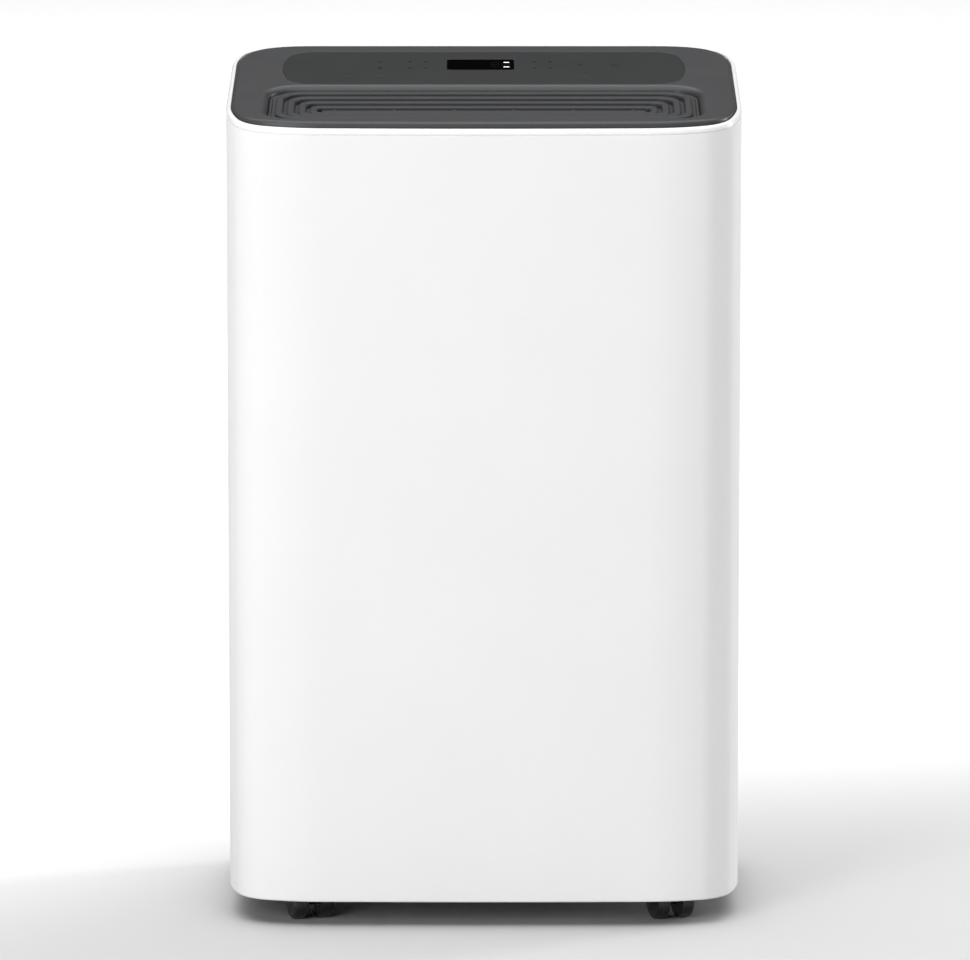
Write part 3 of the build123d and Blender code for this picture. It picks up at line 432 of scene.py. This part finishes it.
def lit(name, color, strength):
    s = Shader(name, color, 0.4)
    s.mottle(400.0, 0.1)
    s.set("Emission Color", (*color, 1.0)).set("Emission Strength", strength)
    return s.material


WHITE = moulded("white_shell", (0.80, 0.80, 0.805), 0.45, depth=0.012 * MM, specular=0.0)
RIM_WHITE = moulded("white_rim", (0.85, 0.85, 0.855), 0.30, depth=0.006 * MM, specular=0.3)
TOP = moulded("dark_top", (0.054, 0.055, 0.057), 0.40, grain=0.5 * MM, depth=0.02 * MM, specular=0.3)
GRILLE = moulded("dark_grille", (0.050, 0.051, 0.053), 0.46, grain=0.5 * MM, depth=0.02 * MM, specular=0.15)
PANEL = moulded("dark_panel", (0.034, 0.035, 0.036), 0.42, grain=0.4 * MM, depth=0.01 * MM, specular=0.12)
SYMBOL = moulded("symbol_ink", (0.006, 0.006, 0.006), 0.5, specular=0.1)
SYMBOL_PALE = moulded("pale_ink", (0.055, 0.056, 0.058), 0.45, specular=0.2)
DISPLAY = moulded("display_glass", (0.002, 0.002, 0.002), 0.12, depth=0.002 * MM, specular=0.12)
# painted highlight: this glowing material stands in for bright dashes of light on the display glass
DIGIT_GLINT = lit("digit_painted_glint", (0.9, 0.93, 1.0), 1.6)
DIGIT_OFF = moulded("digit_dark", (0.006, 0.006, 0.007), 0.3, specular=0.12)
DARK_INNER = moulded("inner_plastic", (0.035, 0.035, 0.037), 0.6)
BASE = moulded("base_plastic", (0.36, 0.36, 0.365), 0.6, grain=0.8 * MM)
CASTER = moulded("caster_plastic", (0.016, 0.016, 0.017), 0.38, grain=0.6 * MM)
TREAD = moulded("wheel_plastic", (0.012, 0.012, 0.013), 0.28, grain=0.8 * MM, depth=0.02 * MM)
BUCKET = moulded("bucket_plastic", (0.42, 0.44, 0.47), 0.30, depth=0.01 * MM)
WINDOW = moulded("window_plastic", (0.10, 0.12, 0.14), 0.12, depth=0.004 * MM, coat=0.5)
HANDLE = moulded("handle_plastic", (0.22, 0.23, 0.24), 0.42)
FOAM = moulded("float_foam", (0.80, 0.80, 0.79), 0.9, grain=1.5 * MM, depth=0.2 * MM)
RUBBER = moulded("black_rubber", (0.018, 0.018, 0.018), 0.7, grain=0.5 * MM, depth=0.05 * MM)
BOARD = moulded("board_lacquer", (0.02, 0.12, 0.05), 0.35)
ENAMEL = moulded("black_enamel", (0.015, 0.015, 0.016), 0.3, grain=2 * MM, depth=0.04 * MM, coat=0.4)
SHEET = metal("galvanised_sheet", (0.55, 0.56, 0.58), 0.42, size=6 * MM)
ZINC = metal("zinc_plate", (0.62, 0.62, 0.60), 0.32)
COPPER = metal("drawn_copper", (0.76, 0.36, 0.22), 0.28)
FIN = metal("fin_foil", (0.80, 0.81, 0.83), 0.35, brushed=(1, 1, 0.05))
NET = woven("filter_net", (0.05, 0.05, 0.055))


# ---------------------------------------------------------------- casing
def casing_rows():
    """The casing wall's section: down the inside, round the bottom edge, up the outside."""
    rows = [(WALL, above(-EDGE_ROUND)), (WALL, SKIRT_Z + EDGE_ROUND), (WALL - EDGE_ROUND, SKIRT_Z)]
    rows += [(SKIRT_ROUND * (1 - cos(a)), SKIRT_Z + SKIRT_ROUND * (1 - sin(a)))
             for a in reversed(quarter_turn(6))]
    rows += [(0.0, SKIRT_Z + up) for up in (0.012, 0.1, 0.25, 0.4, 0.53)]
    rows += [(0.0, above(-3 * MM)), (0.0, above(-EDGE_ROUND)), (EDGE_ROUND * 0.3, above(-EDGE_ROUND * 0.3)),
             (EDGE_ROUND, above(0.0)), (WALL - EDGE_ROUND, above(0.0))]
    return rows


def open_outline(keep_front):
    """The part of the plan outline on one side of the joint between the casings, with rounded ends."""
    points = plan_outline()
    half = len(points) // 2
    # how far back from the end, and the inset there
    ends = [(0.0, EDGE_ROUND), (0.3 * EDGE_ROUND, 0.3 * EDGE_ROUND), (EDGE_ROUND, 0.0)]
    if keep_front:
        loop = points[half:] + points[:half]
        kept = [(*p, 0.0) for p in loop if p[1] < SPLIT_FRONT - 2 * EDGE_ROUND]
        left = [(-HALF, SPLIT_FRONT - back, -1.0, 0.0, inset) for back, inset in ends]
        right = [(HALF, SPLIT_FRONT - back, 1.0, 0.0, inset) for back, inset in reversed(ends)]
    else:
        kept = [(*p, 0.0) for p in points if p[1] > SPLIT_REAR + 2 * EDGE_ROUND]
        left = [(HALF, SPLIT_REAR + back, 1.0, 0.0, inset) for back, inset in ends]
        right = [(-HALF, SPLIT_REAR + back, -1.0, 0.0, inset) for back, inset in reversed(ends)]
    return left + kept + right


def casing(name, keep_front):
    bm = bmesh.new()
    loft(bm, open_outline(keep_front), casing_rows(), closed=False)
    return add_object(name, bm)


def prism(name, outline, low, high):
    """A plain prism along X over an outline in Y and Z; it is only used to cut with."""
    bm = bmesh.new()
    rings = [[bm.verts.new((x, p[0], p[1])) for p in outline] for x in (low, high)]
    for i in range(len(outline)):
        j = (i + 1) % len(outline)
        bm.faces.new((rings[0][i], rings[0][j], rings[1][j], rings[1][i]))
    bm.faces.new(rings[0])
    bm.faces.new(rings[1])
    return add_object(name, bm)


def apply_modifiers(obj):
    graph = bpy.context.evaluated_depsgraph_get()
    mesh = bpy.data.meshes.new_from_object(obj.evaluated_get(graph))
    obj.modifiers.clear()
    obj.data = mesh


def cut(obj, cutters):
    """Takes the cutters out of the piece."""
    for modifier in list(obj.modifiers):
        obj.modifiers.remove(modifier)
    for cutter in cutters:
        for modifier in list(cutter.modifiers):
            cutter.modifiers.remove(modifier)
        boolean = obj.modifiers.new("cut", "BOOLEAN")
        boolean.operation = "DIFFERENCE"
        boolean.solver = "EXACT"
        boolean.object = cutter
        bpy.context.view_layer.update()
        apply_modifiers(obj)
        bpy.data.objects.remove(cutter)
    return obj


def round_edges(obj, test, width, segments=3):
    """Rounds the sharp edges whose two ends pass the test."""
    bm = bmesh.new()
    bm.from_mesh(obj.data)
    name = obj.name
    edges = [e for e in bm.edges if e.is_manifold and e.calc_face_angle(0.0) > radians(40)
             and all(test(v.co) for v in e.verts)]
    bmesh.ops.bevel(bm, geom=edges, offset=width, segments=segments, profile=0.5, affect="EDGES", clamp_overlap=True)
    bpy.data.objects.remove(obj)
    return add_object(name, bm)


def casings():
    """The front casing, with the holes of the finger cups cut through its sides, and the rear casing."""
    front = casing("front_shell", True)
    low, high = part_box("side_handles")
    half = ((high.y - low.y) / 2 - CUP_FLANGE, (high.z - low.z) / 2 - CUP_FLANGE)
    middle = ((high.y + low.y) / 2, (high.z + low.z) / 2)
    hole = rounded_rect(half, CUP_CORNER, middle, along=4, around=10)
    cut(front, [prism("cup_cutter", hole, -HALF - 0.01, HALF + 0.01)])
    front = round_edges(front, lambda p: abs(abs(p.x) - HALF) < 1e-5 and abs(p.y - middle[0]) < half[0] + 1e-4
                        and abs(p.z - middle[1]) < half[1] + 1e-4, 0.9 * MM)
    place(front, "cabinet", "casing_white", WHITE, "front_casing")
    rear = refine("rear_casing", 0.35 * MM, name="rear_shell")
    place(rear, "cabinet", "casing_white", WHITE, "rear_casing")


def finger_cups():
    cups = refine("side_handles", 0.5 * MM, name="finger_cups")
    place(cups, "cabinet", "casing_white", WHITE, "side_handles")


# ---------------------------------------------------------------- top
def bezel():
    """The white rim: a rounded band with a ledge inside that the dark cover sits on."""
    bm = bmesh.new()
    ledge = SEAM + 2 * MM
    rows = [(WALL, above(-TONGUE_DEEP)), (WALL, above(0.05 * MM)), (SEAM_DEPTH, above(0.05 * MM)),
            (SEAM_DEPTH, above(SEAM)), (EDGE_ROUND, above(SEAM)), (0.0, above(SEAM + EDGE_ROUND)),
            (0.0, above(SEAM + 1.2 * MM))]
    rows += [(BEZEL_ROUND * (1 - cos(a)), above(BEZEL_HEIGHT - BEZEL_ROUND * (1 - sin(a))))
             for a in quarter_turn(8)]
    rows += [(BEZEL_WIDTH - EDGE_ROUND, above(BEZEL_HEIGHT)),
             (BEZEL_WIDTH - EDGE_ROUND * 0.3, above(BEZEL_HEIGHT - EDGE_ROUND * 0.3)),
             (BEZEL_WIDTH, above(BEZEL_HEIGHT - EDGE_ROUND)), (BEZEL_WIDTH, above(ledge)),
             (LEDGE_REACH, above(ledge)), (LEDGE_REACH, above(SEAM)),
             (WALL + 2 * MM, above(SEAM)), (WALL + 2 * MM, above(-TONGUE_DEEP))]
    loft(bm, plan_outline(), rows)
    place(add_object("white_rim", bm), "cabinet", "bezel_white", RIM_WHITE, "top_bezel")


def outlet_outline(inset=0.0):
    spread, shrink = (RING_SPREAD, 0.5) if inset > 0.5 * MM else (1, 1)
    half = (OUTLET_HALF[0] - inset, OUTLET_HALF[1] - inset * spread)
    corner = min(OUTLET_CORNER - inset * shrink, half[1] - 0.4 * MM)
    return rounded_rect(half, corner, (0.0, OUTLET_Y), along=16, around=12)


def cover():
    """The dark top: drooping ends, a rounded edge, a rolled lip into the outlet and a seat for the panel."""
    bm = bmesh.new()
    foot = SEAM + 2.1 * MM
    rows = [(COVER_INSET + 4 * MM, above(foot)), (BEZEL_WIDTH + 0.05 * MM, above(foot)),
            (BEZEL_WIDTH + 0.05 * MM, above(foot + 0.3 * MM)), (COVER_INSET, above(foot + 0.3 * MM))]
    rows += [(COVER_INSET + COVER_ROUND * (1 - cos(a)), over(COVER_ROUND * (1 - sin(a))))
             for a in quarter_turn(8)]
    outer = loft(bm, plan_outline(), rows, wrap=False)[-1]
    lip = [(-OUTLET_LIP * (1 - sin(a)), over(OUTLET_LIP * (1 - cos(a)))) for a in quarter_turn(8)]
    lip += [(0.0, over(OUTLET_WALL)), (-2 * MM, over(OUTLET_WALL))]
    outlet = loft(bm, outlet_outline(), lip, wrap=False)[0]
    edge = 0.25 * MM
    seat = [(-edge, over(0.0)), (-0.3 * edge, over(0.3 * edge)), (0.0, over(edge)),
            (0.0, over(PANEL_DEPTH)), (6 * MM, over(PANEL_DEPTH))]
    panel = loft(bm, panel_outline(), seat, wrap=False)[0]
    fill_between(bm, [outer, outlet, panel])
    droop(bm, foot)
    place(add_object("dark_top", bm), "cabinet", "top_grey", TOP, "top_cover")


def droop(bm, foot):
    """Bends the cover's two ends down towards the rim; its foot stays where it is."""
    reach = HALF - DROOP_FROM
    for side in (-1, 1):
        for step in range(12):
            bmesh.ops.bisect_plane(bm, geom=bm.verts[:] + bm.edges[:] + bm.faces[:],
                                   plane_co=(side * (DROOP_FROM + reach * step / 12), 0, 0), plane_no=(1, 0, 0))
    for v in bm.verts:
        along = max(0.0, abs(v.co.x) - DROOP_FROM) / reach
        low, high = rim_z(v.co.y, foot), over(0.0)(v.co.y)
        v.co.z -= DROOP_DEEP * along ** 2 * min(1.0, max(0.0, (v.co.z - low) / (high - low)))


def panel():
    """The touch panel with its window, and the display's glass in it."""
    bm = bmesh.new()
    gap, edge = 0.15 * MM, 0.2 * MM
    seat = PANEL_DEPTH - 0.05 * MM
    rows = [(gap + 3 * MM, over(seat)), (gap, over(seat)), (gap, over(edge)), (gap + 0.3 * edge, over(0.3 * edge)),
            (gap + edge, over(0.0))]
    outer = loft(bm, panel_outline(), rows, wrap=False)[-1]
    window = rounded_rect((DISPLAY_HALF[0] + gap, DISPLAY_HALF[1] + gap), 3 * MM, DISPLAY_AT, along=4, around=8)
    inner = loft(bm, window, [(-edge, over(0.0)), (-0.3 * edge, over(0.3 * edge)), (0.0, over(edge)),
                              (0.0, over(PANEL_DEPTH))], wrap=False)[0]
    fill_between(bm, [outer, inner])
    place(add_object("touch_panel", bm), "cabinet", "panel_grey", PANEL, "control_panel")
    bm = bmesh.new()
    glass = rounded_rect(DISPLAY_HALF, 2.85 * MM, DISPLAY_AT, along=4, around=8)
    rows = [(0.0, over(seat)), (0.0, over(GLASS_DROP + edge)), (0.3 * edge, over(GLASS_DROP + 0.3 * edge)),
            (edge, over(GLASS_DROP))]
    ring = loft(bm, glass, rows, wrap=False)[-1]
    fill_between(bm, [ring])
    place(add_object("display_glass", bm), "cabinet", "display_black", DISPLAY, "display_window")


def mark(name, shapes, material, drop=0.0, thick=0.05 * MM):
    """Thin printed shapes on the sloping top. Each shape is a list of (x, y) points."""
    bm = bmesh.new()
    for shape in shapes:
        low, high = ([bm.verts.new((x, y, over(drop + level)(y))) for x, y in shape]
                     for level in (thick, -thick))
        for i in range(len(shape)):
            j = (i + 1) % len(shape)
            bm.faces.new((low[i], low[j], high[j], high[i]))
        bm.faces.new(low)
        bm.faces.new(high)
    return place(add_object(name, bm), "cabinet", "panel_grey", material)


def dot(x, y, radius):
    return [(x + radius * cos(a), y + radius * sin(a)) for a in (2 * pi * i / 16 for i in range(16))]


def dash(x, y, long, thick):
    return [(x - long / 2, y - thick / 2), (x + long / 2, y - thick / 2), (x + long / 2, y + thick / 2),
            (x - long / 2, y + thick / 2)]


def arrow(x, y, size, point):
    """A small triangle; point is 1 for one that points to the back and -1 for the front."""
    w, t = size, size * 1.6 * point
    return [(x - w, y - t), (x + w, y - t), (x, y + t)]


SYMBOL_ROWS = (0.0705, 0.0505)
ARROW_X = (-0.0555, -0.0438, 0.0380, 0.0497)
TIMER_X, MODE_X, LINES_X = -0.0780, 0.0720, 0.0990


def symbols():
    """Generic touch marks: arrows, dots and lines."""
    dark = []
    for x in ARROW_X:
        dark.append(arrow(x, SYMBOL_ROWS[0], 1.5 * MM, -1))
        dark.append(arrow(x, SYMBOL_ROWS[1], 1.5 * MM, 1))
    dark += [dot(TIMER_X, SYMBOL_ROWS[1], 2.0 * MM), dash(TIMER_X, SYMBOL_ROWS[0], 3.4 * MM, 1.8 * MM),
             dot(MODE_X, 0.0605, 1.7 * MM), dash(LINES_X, 0.0620, 6.5 * MM, 1.0 * MM),
             dash(LINES_X, 0.0540, 6.5 * MM, 1.0 * MM)]
    mark("touch_marks", dark, SYMBOL)
    pale = [dash(x, 0.0245, 7.5 * MM, 1.4 * MM) for x in (-0.1045, TIMER_X, MODE_X + 0.002)]
    mark("touch_marks_pale", pale, SYMBOL_PALE)


def digit(x, y, wide, tall, thick):
    """The seven segments of a figure: the three level ones and the four upright ones."""
    level = [dash(x, y + tall / 2 * k, wide, thick * 2.2) for k in (-1, 0, 1)]
    upright = [dash(x + side * (wide / 2 + thick), y + tall / 4 * k, thick, tall / 2 - 2.5 * thick)
               for side in (-1, 1) for k in (-1, 1)]
    return level, upright


def display_figures():
    """Two figures in the window; on the right-hand one the top and bottom segments glow, a painted highlight of two
    bright dashes.
    """
    size = (4.2 * MM, 15 * MM, 0.6 * MM)                             # width, height and thickness of a figure
    level, upright = digit(DISPLAY_AT[0] + 19.5 * MM, DISPLAY_AT[1], *size)
    # painted highlight: the right-hand figure's top and bottom segments glow
    mark("figure_painted_glint", [level[0], level[2]], DIGIT_GLINT, GLASS_DROP)
    other, sides = digit(DISPLAY_AT[0] + 11 * MM, DISPLAY_AT[1], *size)
    mark("figure_unlit", [level[1], *upright, *other, *sides], DIGIT_OFF, GLASS_DROP)


def grille():
    """Nested ring bars that step down towards the middle, in a flange, on cross ribs, closed at both ends."""
    bm = bmesh.new()
    soft = RING_ROUND
    bars = [(*FLANGE, FLANGE_DROP)]                                  # outer inset, inner inset, drop of the top
    for ring in range(RING_COUNT):
        middle = RING_FIRST + ring * RING_PITCH
        bars.append((middle - RING_BAR / 2, middle + RING_BAR / 2, ring_drop(ring)))
    plate = RING_FIRST + RING_COUNT * RING_PITCH - RING_BAR / 2
    drop = ring_drop(RING_COUNT)
    inner_bars = bars[1:] + [(plate, plate, drop)]
    gaps = [(bar[1], inner[0], inner[2] + WEB_DROP) for bar, inner in zip(bars, inner_bars)]
    for outside, inside, top in bars:
        rows = [(outside, over(RING_LOW))]
        rows += [(outside + soft * (1 - cos(a)), over(top + soft * (1 - sin(a)))) for a in quarter_turn(4)]
        rows += [(inside - soft * (1 - cos(a)), over(top + soft * (1 - sin(a))))
                 for a in reversed(quarter_turn(4))]
        rows += [(inside, over(RING_LOW))]
        loft_rings(bm, rows)
    rows = [(plate, over(RING_LOW)), (plate, over(drop + soft)), (plate + soft * 0.3, over(drop + soft * 0.3)),
            (plate + soft, over(drop))]
    ends = loft_rings(bm, rows, wrap=False)
    fill_between(bm, [ends[-1]])
    fill_between(bm, [ends[0]])
    for outside, inside, top in gaps:
        for side in (-1, 1):
            web(bm, side, outside, inside, top)
    reach = 4 * MM                                                   # the ribs end inside the outermost ring
    for x in RIB_X:
        rib(bm, (x - RIB_THICK / 2, x + RIB_THICK / 2),
            (OUTLET_Y - OUTLET_HALF[1] + reach, OUTLET_Y + OUTLET_HALF[1] - reach))
    place(add_object("outlet_rings", bm), "cabinet", "grille_grey", GRILLE, "outlet_grille")


def web(bm, side, outside, inside, top):
    """Closes the slot between two rings at one end of the outlet, leaving a groove."""
    part = bmesh.new()
    loft_rings(part, [(outside, over(RING_LOW)), (outside, over(top)),
                      (inside, over(top)), (inside, over(RING_LOW))])
    bmesh.ops.bisect_plane(part, geom=part.verts[:] + part.edges[:] + part.faces[:], plane_co=(side * WEB_FROM, 0, 0),
                           plane_no=(side, 0, 0), clear_inner=True)
    bmesh.ops.holes_fill(part, edges=[e for e in part.edges if e.is_boundary], sides=8)
    mesh = bpy.data.meshes.new("web")
    part.to_mesh(mesh)
    part.free()
    bm.from_mesh(mesh)
    bpy.data.meshes.remove(mesh)


def ring_drop(ring):
    return RING_DROP + RING_STEP * (ring + 1)


def rib(bm, across, along):
    """An upright rib below the rings; its top and bottom follow the cover's slope."""
    corners = [(x, y) for x in across for y in along]
    low, high = ([bm.verts.new((x, y, over(drop)(y))) for x, y in corners] for drop in (RING_LOW, RIB_DROP))
    for a, b in ((0, 1), (1, 3), (3, 2), (2, 0)):
        bm.faces.new((low[a], low[b], high[b], high[a]))
    bm.faces.new([low[i] for i in (0, 1, 3, 2)])
    bm.faces.new([high[i] for i in (0, 1, 3, 2)])


def loft_rings(bm, rows, wrap=True):
    """A loft whose rows are the outlet's own outline at each inset."""
    grid = []
    for inset, height in rows:
        grid.append([bm.verts.new((x, y, height(y))) for x, y, *_ in outlet_outline(inset)])
    count = len(grid[0])
    for low, high in (zip(grid, grid[1:] + grid[:1]) if wrap else zip(grid, grid[1:])):
        for i in range(count):
            j = (i + 1) % count
            bm.faces.new((low[i], low[j], high[j], high[i]))
    return grid


# ---------------------------------------------------------------- the rest, from the CAD shapes
REFINED = {                             # the rounding of its edges in millimetres, and its material
    "bucket_face": (0.5, WHITE), "inlet_grille": (0.3, WHITE), "drain_port": (0.3, HANDLE),
    "drain_cap": (0.3, HANDLE), "cord_gland": (0.3, RUBBER), "bucket": (0.4, BUCKET), "bucket_window": (0.3, WINDOW),
    "bucket_handle": (0.6, HANDLE), "filter_frame": (0.3, DARK_INNER), "casing_screws": (0.12, ZINC),
    "float_block": (0.8, FOAM),
}
CASTER_BEVEL = 0.35
CARRIED = {
    "base_pan": BASE, "divider_shelf": DARK_INNER, "compressor": ENAMEL, "compressor_grommets": RUBBER,
    "compressor_bolts": ZINC, "evaporator_fins": FIN, "evaporator_tubes": COPPER, "condenser_fins": FIN,
    "condenser_tubes": COPPER, "drain_tray": DARK_INNER, "suction_pipe": COPPER, "discharge_pipe": COPPER,
    "fan_scroll": DARK_INNER, "scroll_cover": DARK_INNER, "fan_impeller": DARK_INNER, "fan_motor": SHEET,
    "motor_shaft": ZINC, "control_box": SHEET, "control_box_lid": SHEET, "main_board": BOARD, "run_capacitor": SHEET,
    "display_board": BOARD, "filter_mesh": NET, "level_sensor": DARK_INNER, "caster_stems": ZINC,
}


def slot_of(node):
    return next(s["material_slot"] for s in frame["record"]["subparts"] if s["node"] == node)


def body_of(node):
    return next(body for body, nodes in frame["record"]["behaviour"]["bodies"].items() if node in nodes)


def refined_pieces():
    for node, (bevel, material) in REFINED.items():
        piece = refine(node, bevel * MM)
        place(piece, body_of(node), slot_of(node), material, node)
    for node in frame["nodes"]:
        if node.endswith("_housing") or "_wheel_" in node:
            material = CASTER if node.endswith("_housing") else TREAD
            piece = refine(node, CASTER_BEVEL * MM)
            place(piece, body_of(node), slot_of(node), material, node)


def carried_nodes():
    for node, obj in frame["nodes"].items():
        material = CARRIED.get(node) or (ZINC if node.endswith("_axle") else None)
        if material and not obj.hide_render:
            obj.data.materials.clear()
            obj.data.materials.append(material)


# ---------------------------------------------------------------- studio
VIEW_ELEVATION = radians(8.94)
VIEW_DISTANCE = 5.333
VIEW_TARGET_Z = 0.302
VIEW_LENS = 263.4
VIEW_SHIFT = (0.0011, 0.0176)
FLOOR_RADIUS = 14.0
SKY_TOP = 2.3                           # how bright the sky is overhead
SKY_FADE = (0.82, 0.95)                 # by (height + 1) / 2: dark below the first, SKY_TOP above the second
MIDDLE = (0.0, 0.0, 0.32)
LIGHTS = {                              # place, target, size, watts
    "key_left": ((-1.82, -3.27, 1.05), MIDDLE, (1.1, 2.2), 80),
    "rim_right": ((2.5, 1.3, 0.8), MIDDLE, (0.6, 1.8), 46),
    "top_back": ((0.0, 1.6, 2.6), MIDDLE, (2.4, 0.5), 9),
    "top_front": ((-0.3, -1.3, 2.5), MIDDLE, (2.6, 0.7), 13.5),
    "floor_wash": ((0.0, 3.2, 3.5), (0.0, 9.0, 0.0), (6.0, 2.0), 115),
}
FLOOR_SHADED, FLOOR_FAR = 0.58, 0.92      # how white the floor is in front of the machine, darkened there as painted shade, and behind it
FLOOR_SHADE_SPAN = (-0.10, 0.62)              # where the painted shade starts and ends to turn into the whiter floor
# the way the painted shade fades out: towards the back, and later on the right-hand side
FLOOR_SHADE_WAY = (-0.6, 1.0, 0.0)


def camera():
    data = bpy.data.cameras.new("camera")
    data.lens = VIEW_LENS
    data.sensor_width = 36.0
    data.shift_x, data.shift_y = VIEW_SHIFT
    obj = bpy.data.objects.new("camera", data)
    obj.location = (0, -VIEW_DISTANCE * cos(VIEW_ELEVATION),
                    VIEW_TARGET_Z + VIEW_DISTANCE * sin(VIEW_ELEVATION))
    obj.rotation_euler = (pi / 2 - VIEW_ELEVATION, 0, 0)
    bpy.context.scene.collection.objects.link(obj)
    bpy.context.scene.camera = obj


def area_light(name, place_at, target, size, power):
    data = bpy.data.lights.new(name, "AREA")
    data.shape = "RECTANGLE"
    data.size, data.size_y = size
    data.energy = power
    obj = bpy.data.objects.new(name, data)
    obj.location = place_at
    obj.rotation_euler = (Vector(target) - Vector(place_at)).to_track_quat("-Z", "Y").to_euler()
    bpy.context.scene.collection.objects.link(obj)


def floor():
    """A wide pale floor with painted shade: darker in front of the machine and to its right, whiter behind it."""
    bm = bmesh.new()
    turns = (2 * pi * i / 64 for i in range(64))
    bm.faces.new([bm.verts.new((FLOOR_RADIUS * cos(a), FLOOR_RADIUS * sin(a), 0.0)) for a in turns])
    paper = add_object("studio_floor", bm)
    paper.modifiers.clear()
    shader = Shader("studio_paper", (FLOOR_FAR,) * 3, 0.8, specular=0.2)
    # painted shade: the floor's grey is darker round the front and right of the machine
    shader.paint_shade_fade(FLOOR_SHADED, FLOOR_FAR, *FLOOR_SHADE_SPAN, FLOOR_SHADE_WAY)
    paper.data.materials.append(shader.material)


def sky():
    """A dark room with a bright soft ceiling, by the direction's height."""
    world = bpy.data.worlds.new("studio_world")
    world.use_nodes = True
    nodes, links = world.node_tree.nodes, world.node_tree.links
    where = nodes.new("ShaderNodeTexCoord").outputs["Generated"]
    split = nodes.new("ShaderNodeSeparateXYZ")
    ramp = nodes.new("ShaderNodeValToRGB")
    for element, at, value in zip(ramp.color_ramp.elements, SKY_FADE, (0.0, SKY_TOP)):
        element.position, element.color = at, (value, value, value, 1.0)
    half = nodes.new("ShaderNodeMath")
    half.operation = "MULTIPLY_ADD"
    half.inputs[1].default_value = half.inputs[2].default_value = 0.5
    links.new(where, split.inputs["Vector"])
    links.new(split.outputs["Z"], half.inputs[0])
    links.new(half.outputs["Value"], ramp.inputs["Fac"])
    links.new(ramp.outputs["Color"], nodes["Background"].inputs["Color"])
    bpy.context.scene.world = world


def studio():
    sky()
    bpy.context.scene.view_settings.view_transform = "Standard"
    for name, (place_at, target, size, power) in LIGHTS.items():
        area_light(name, place_at, target, size, power)


camera()
floor()
studio()
casings()
finger_cups()
bezel()
cover()
panel()
symbols()
display_figures()
grille()
refined_pieces()
carried_nodes()
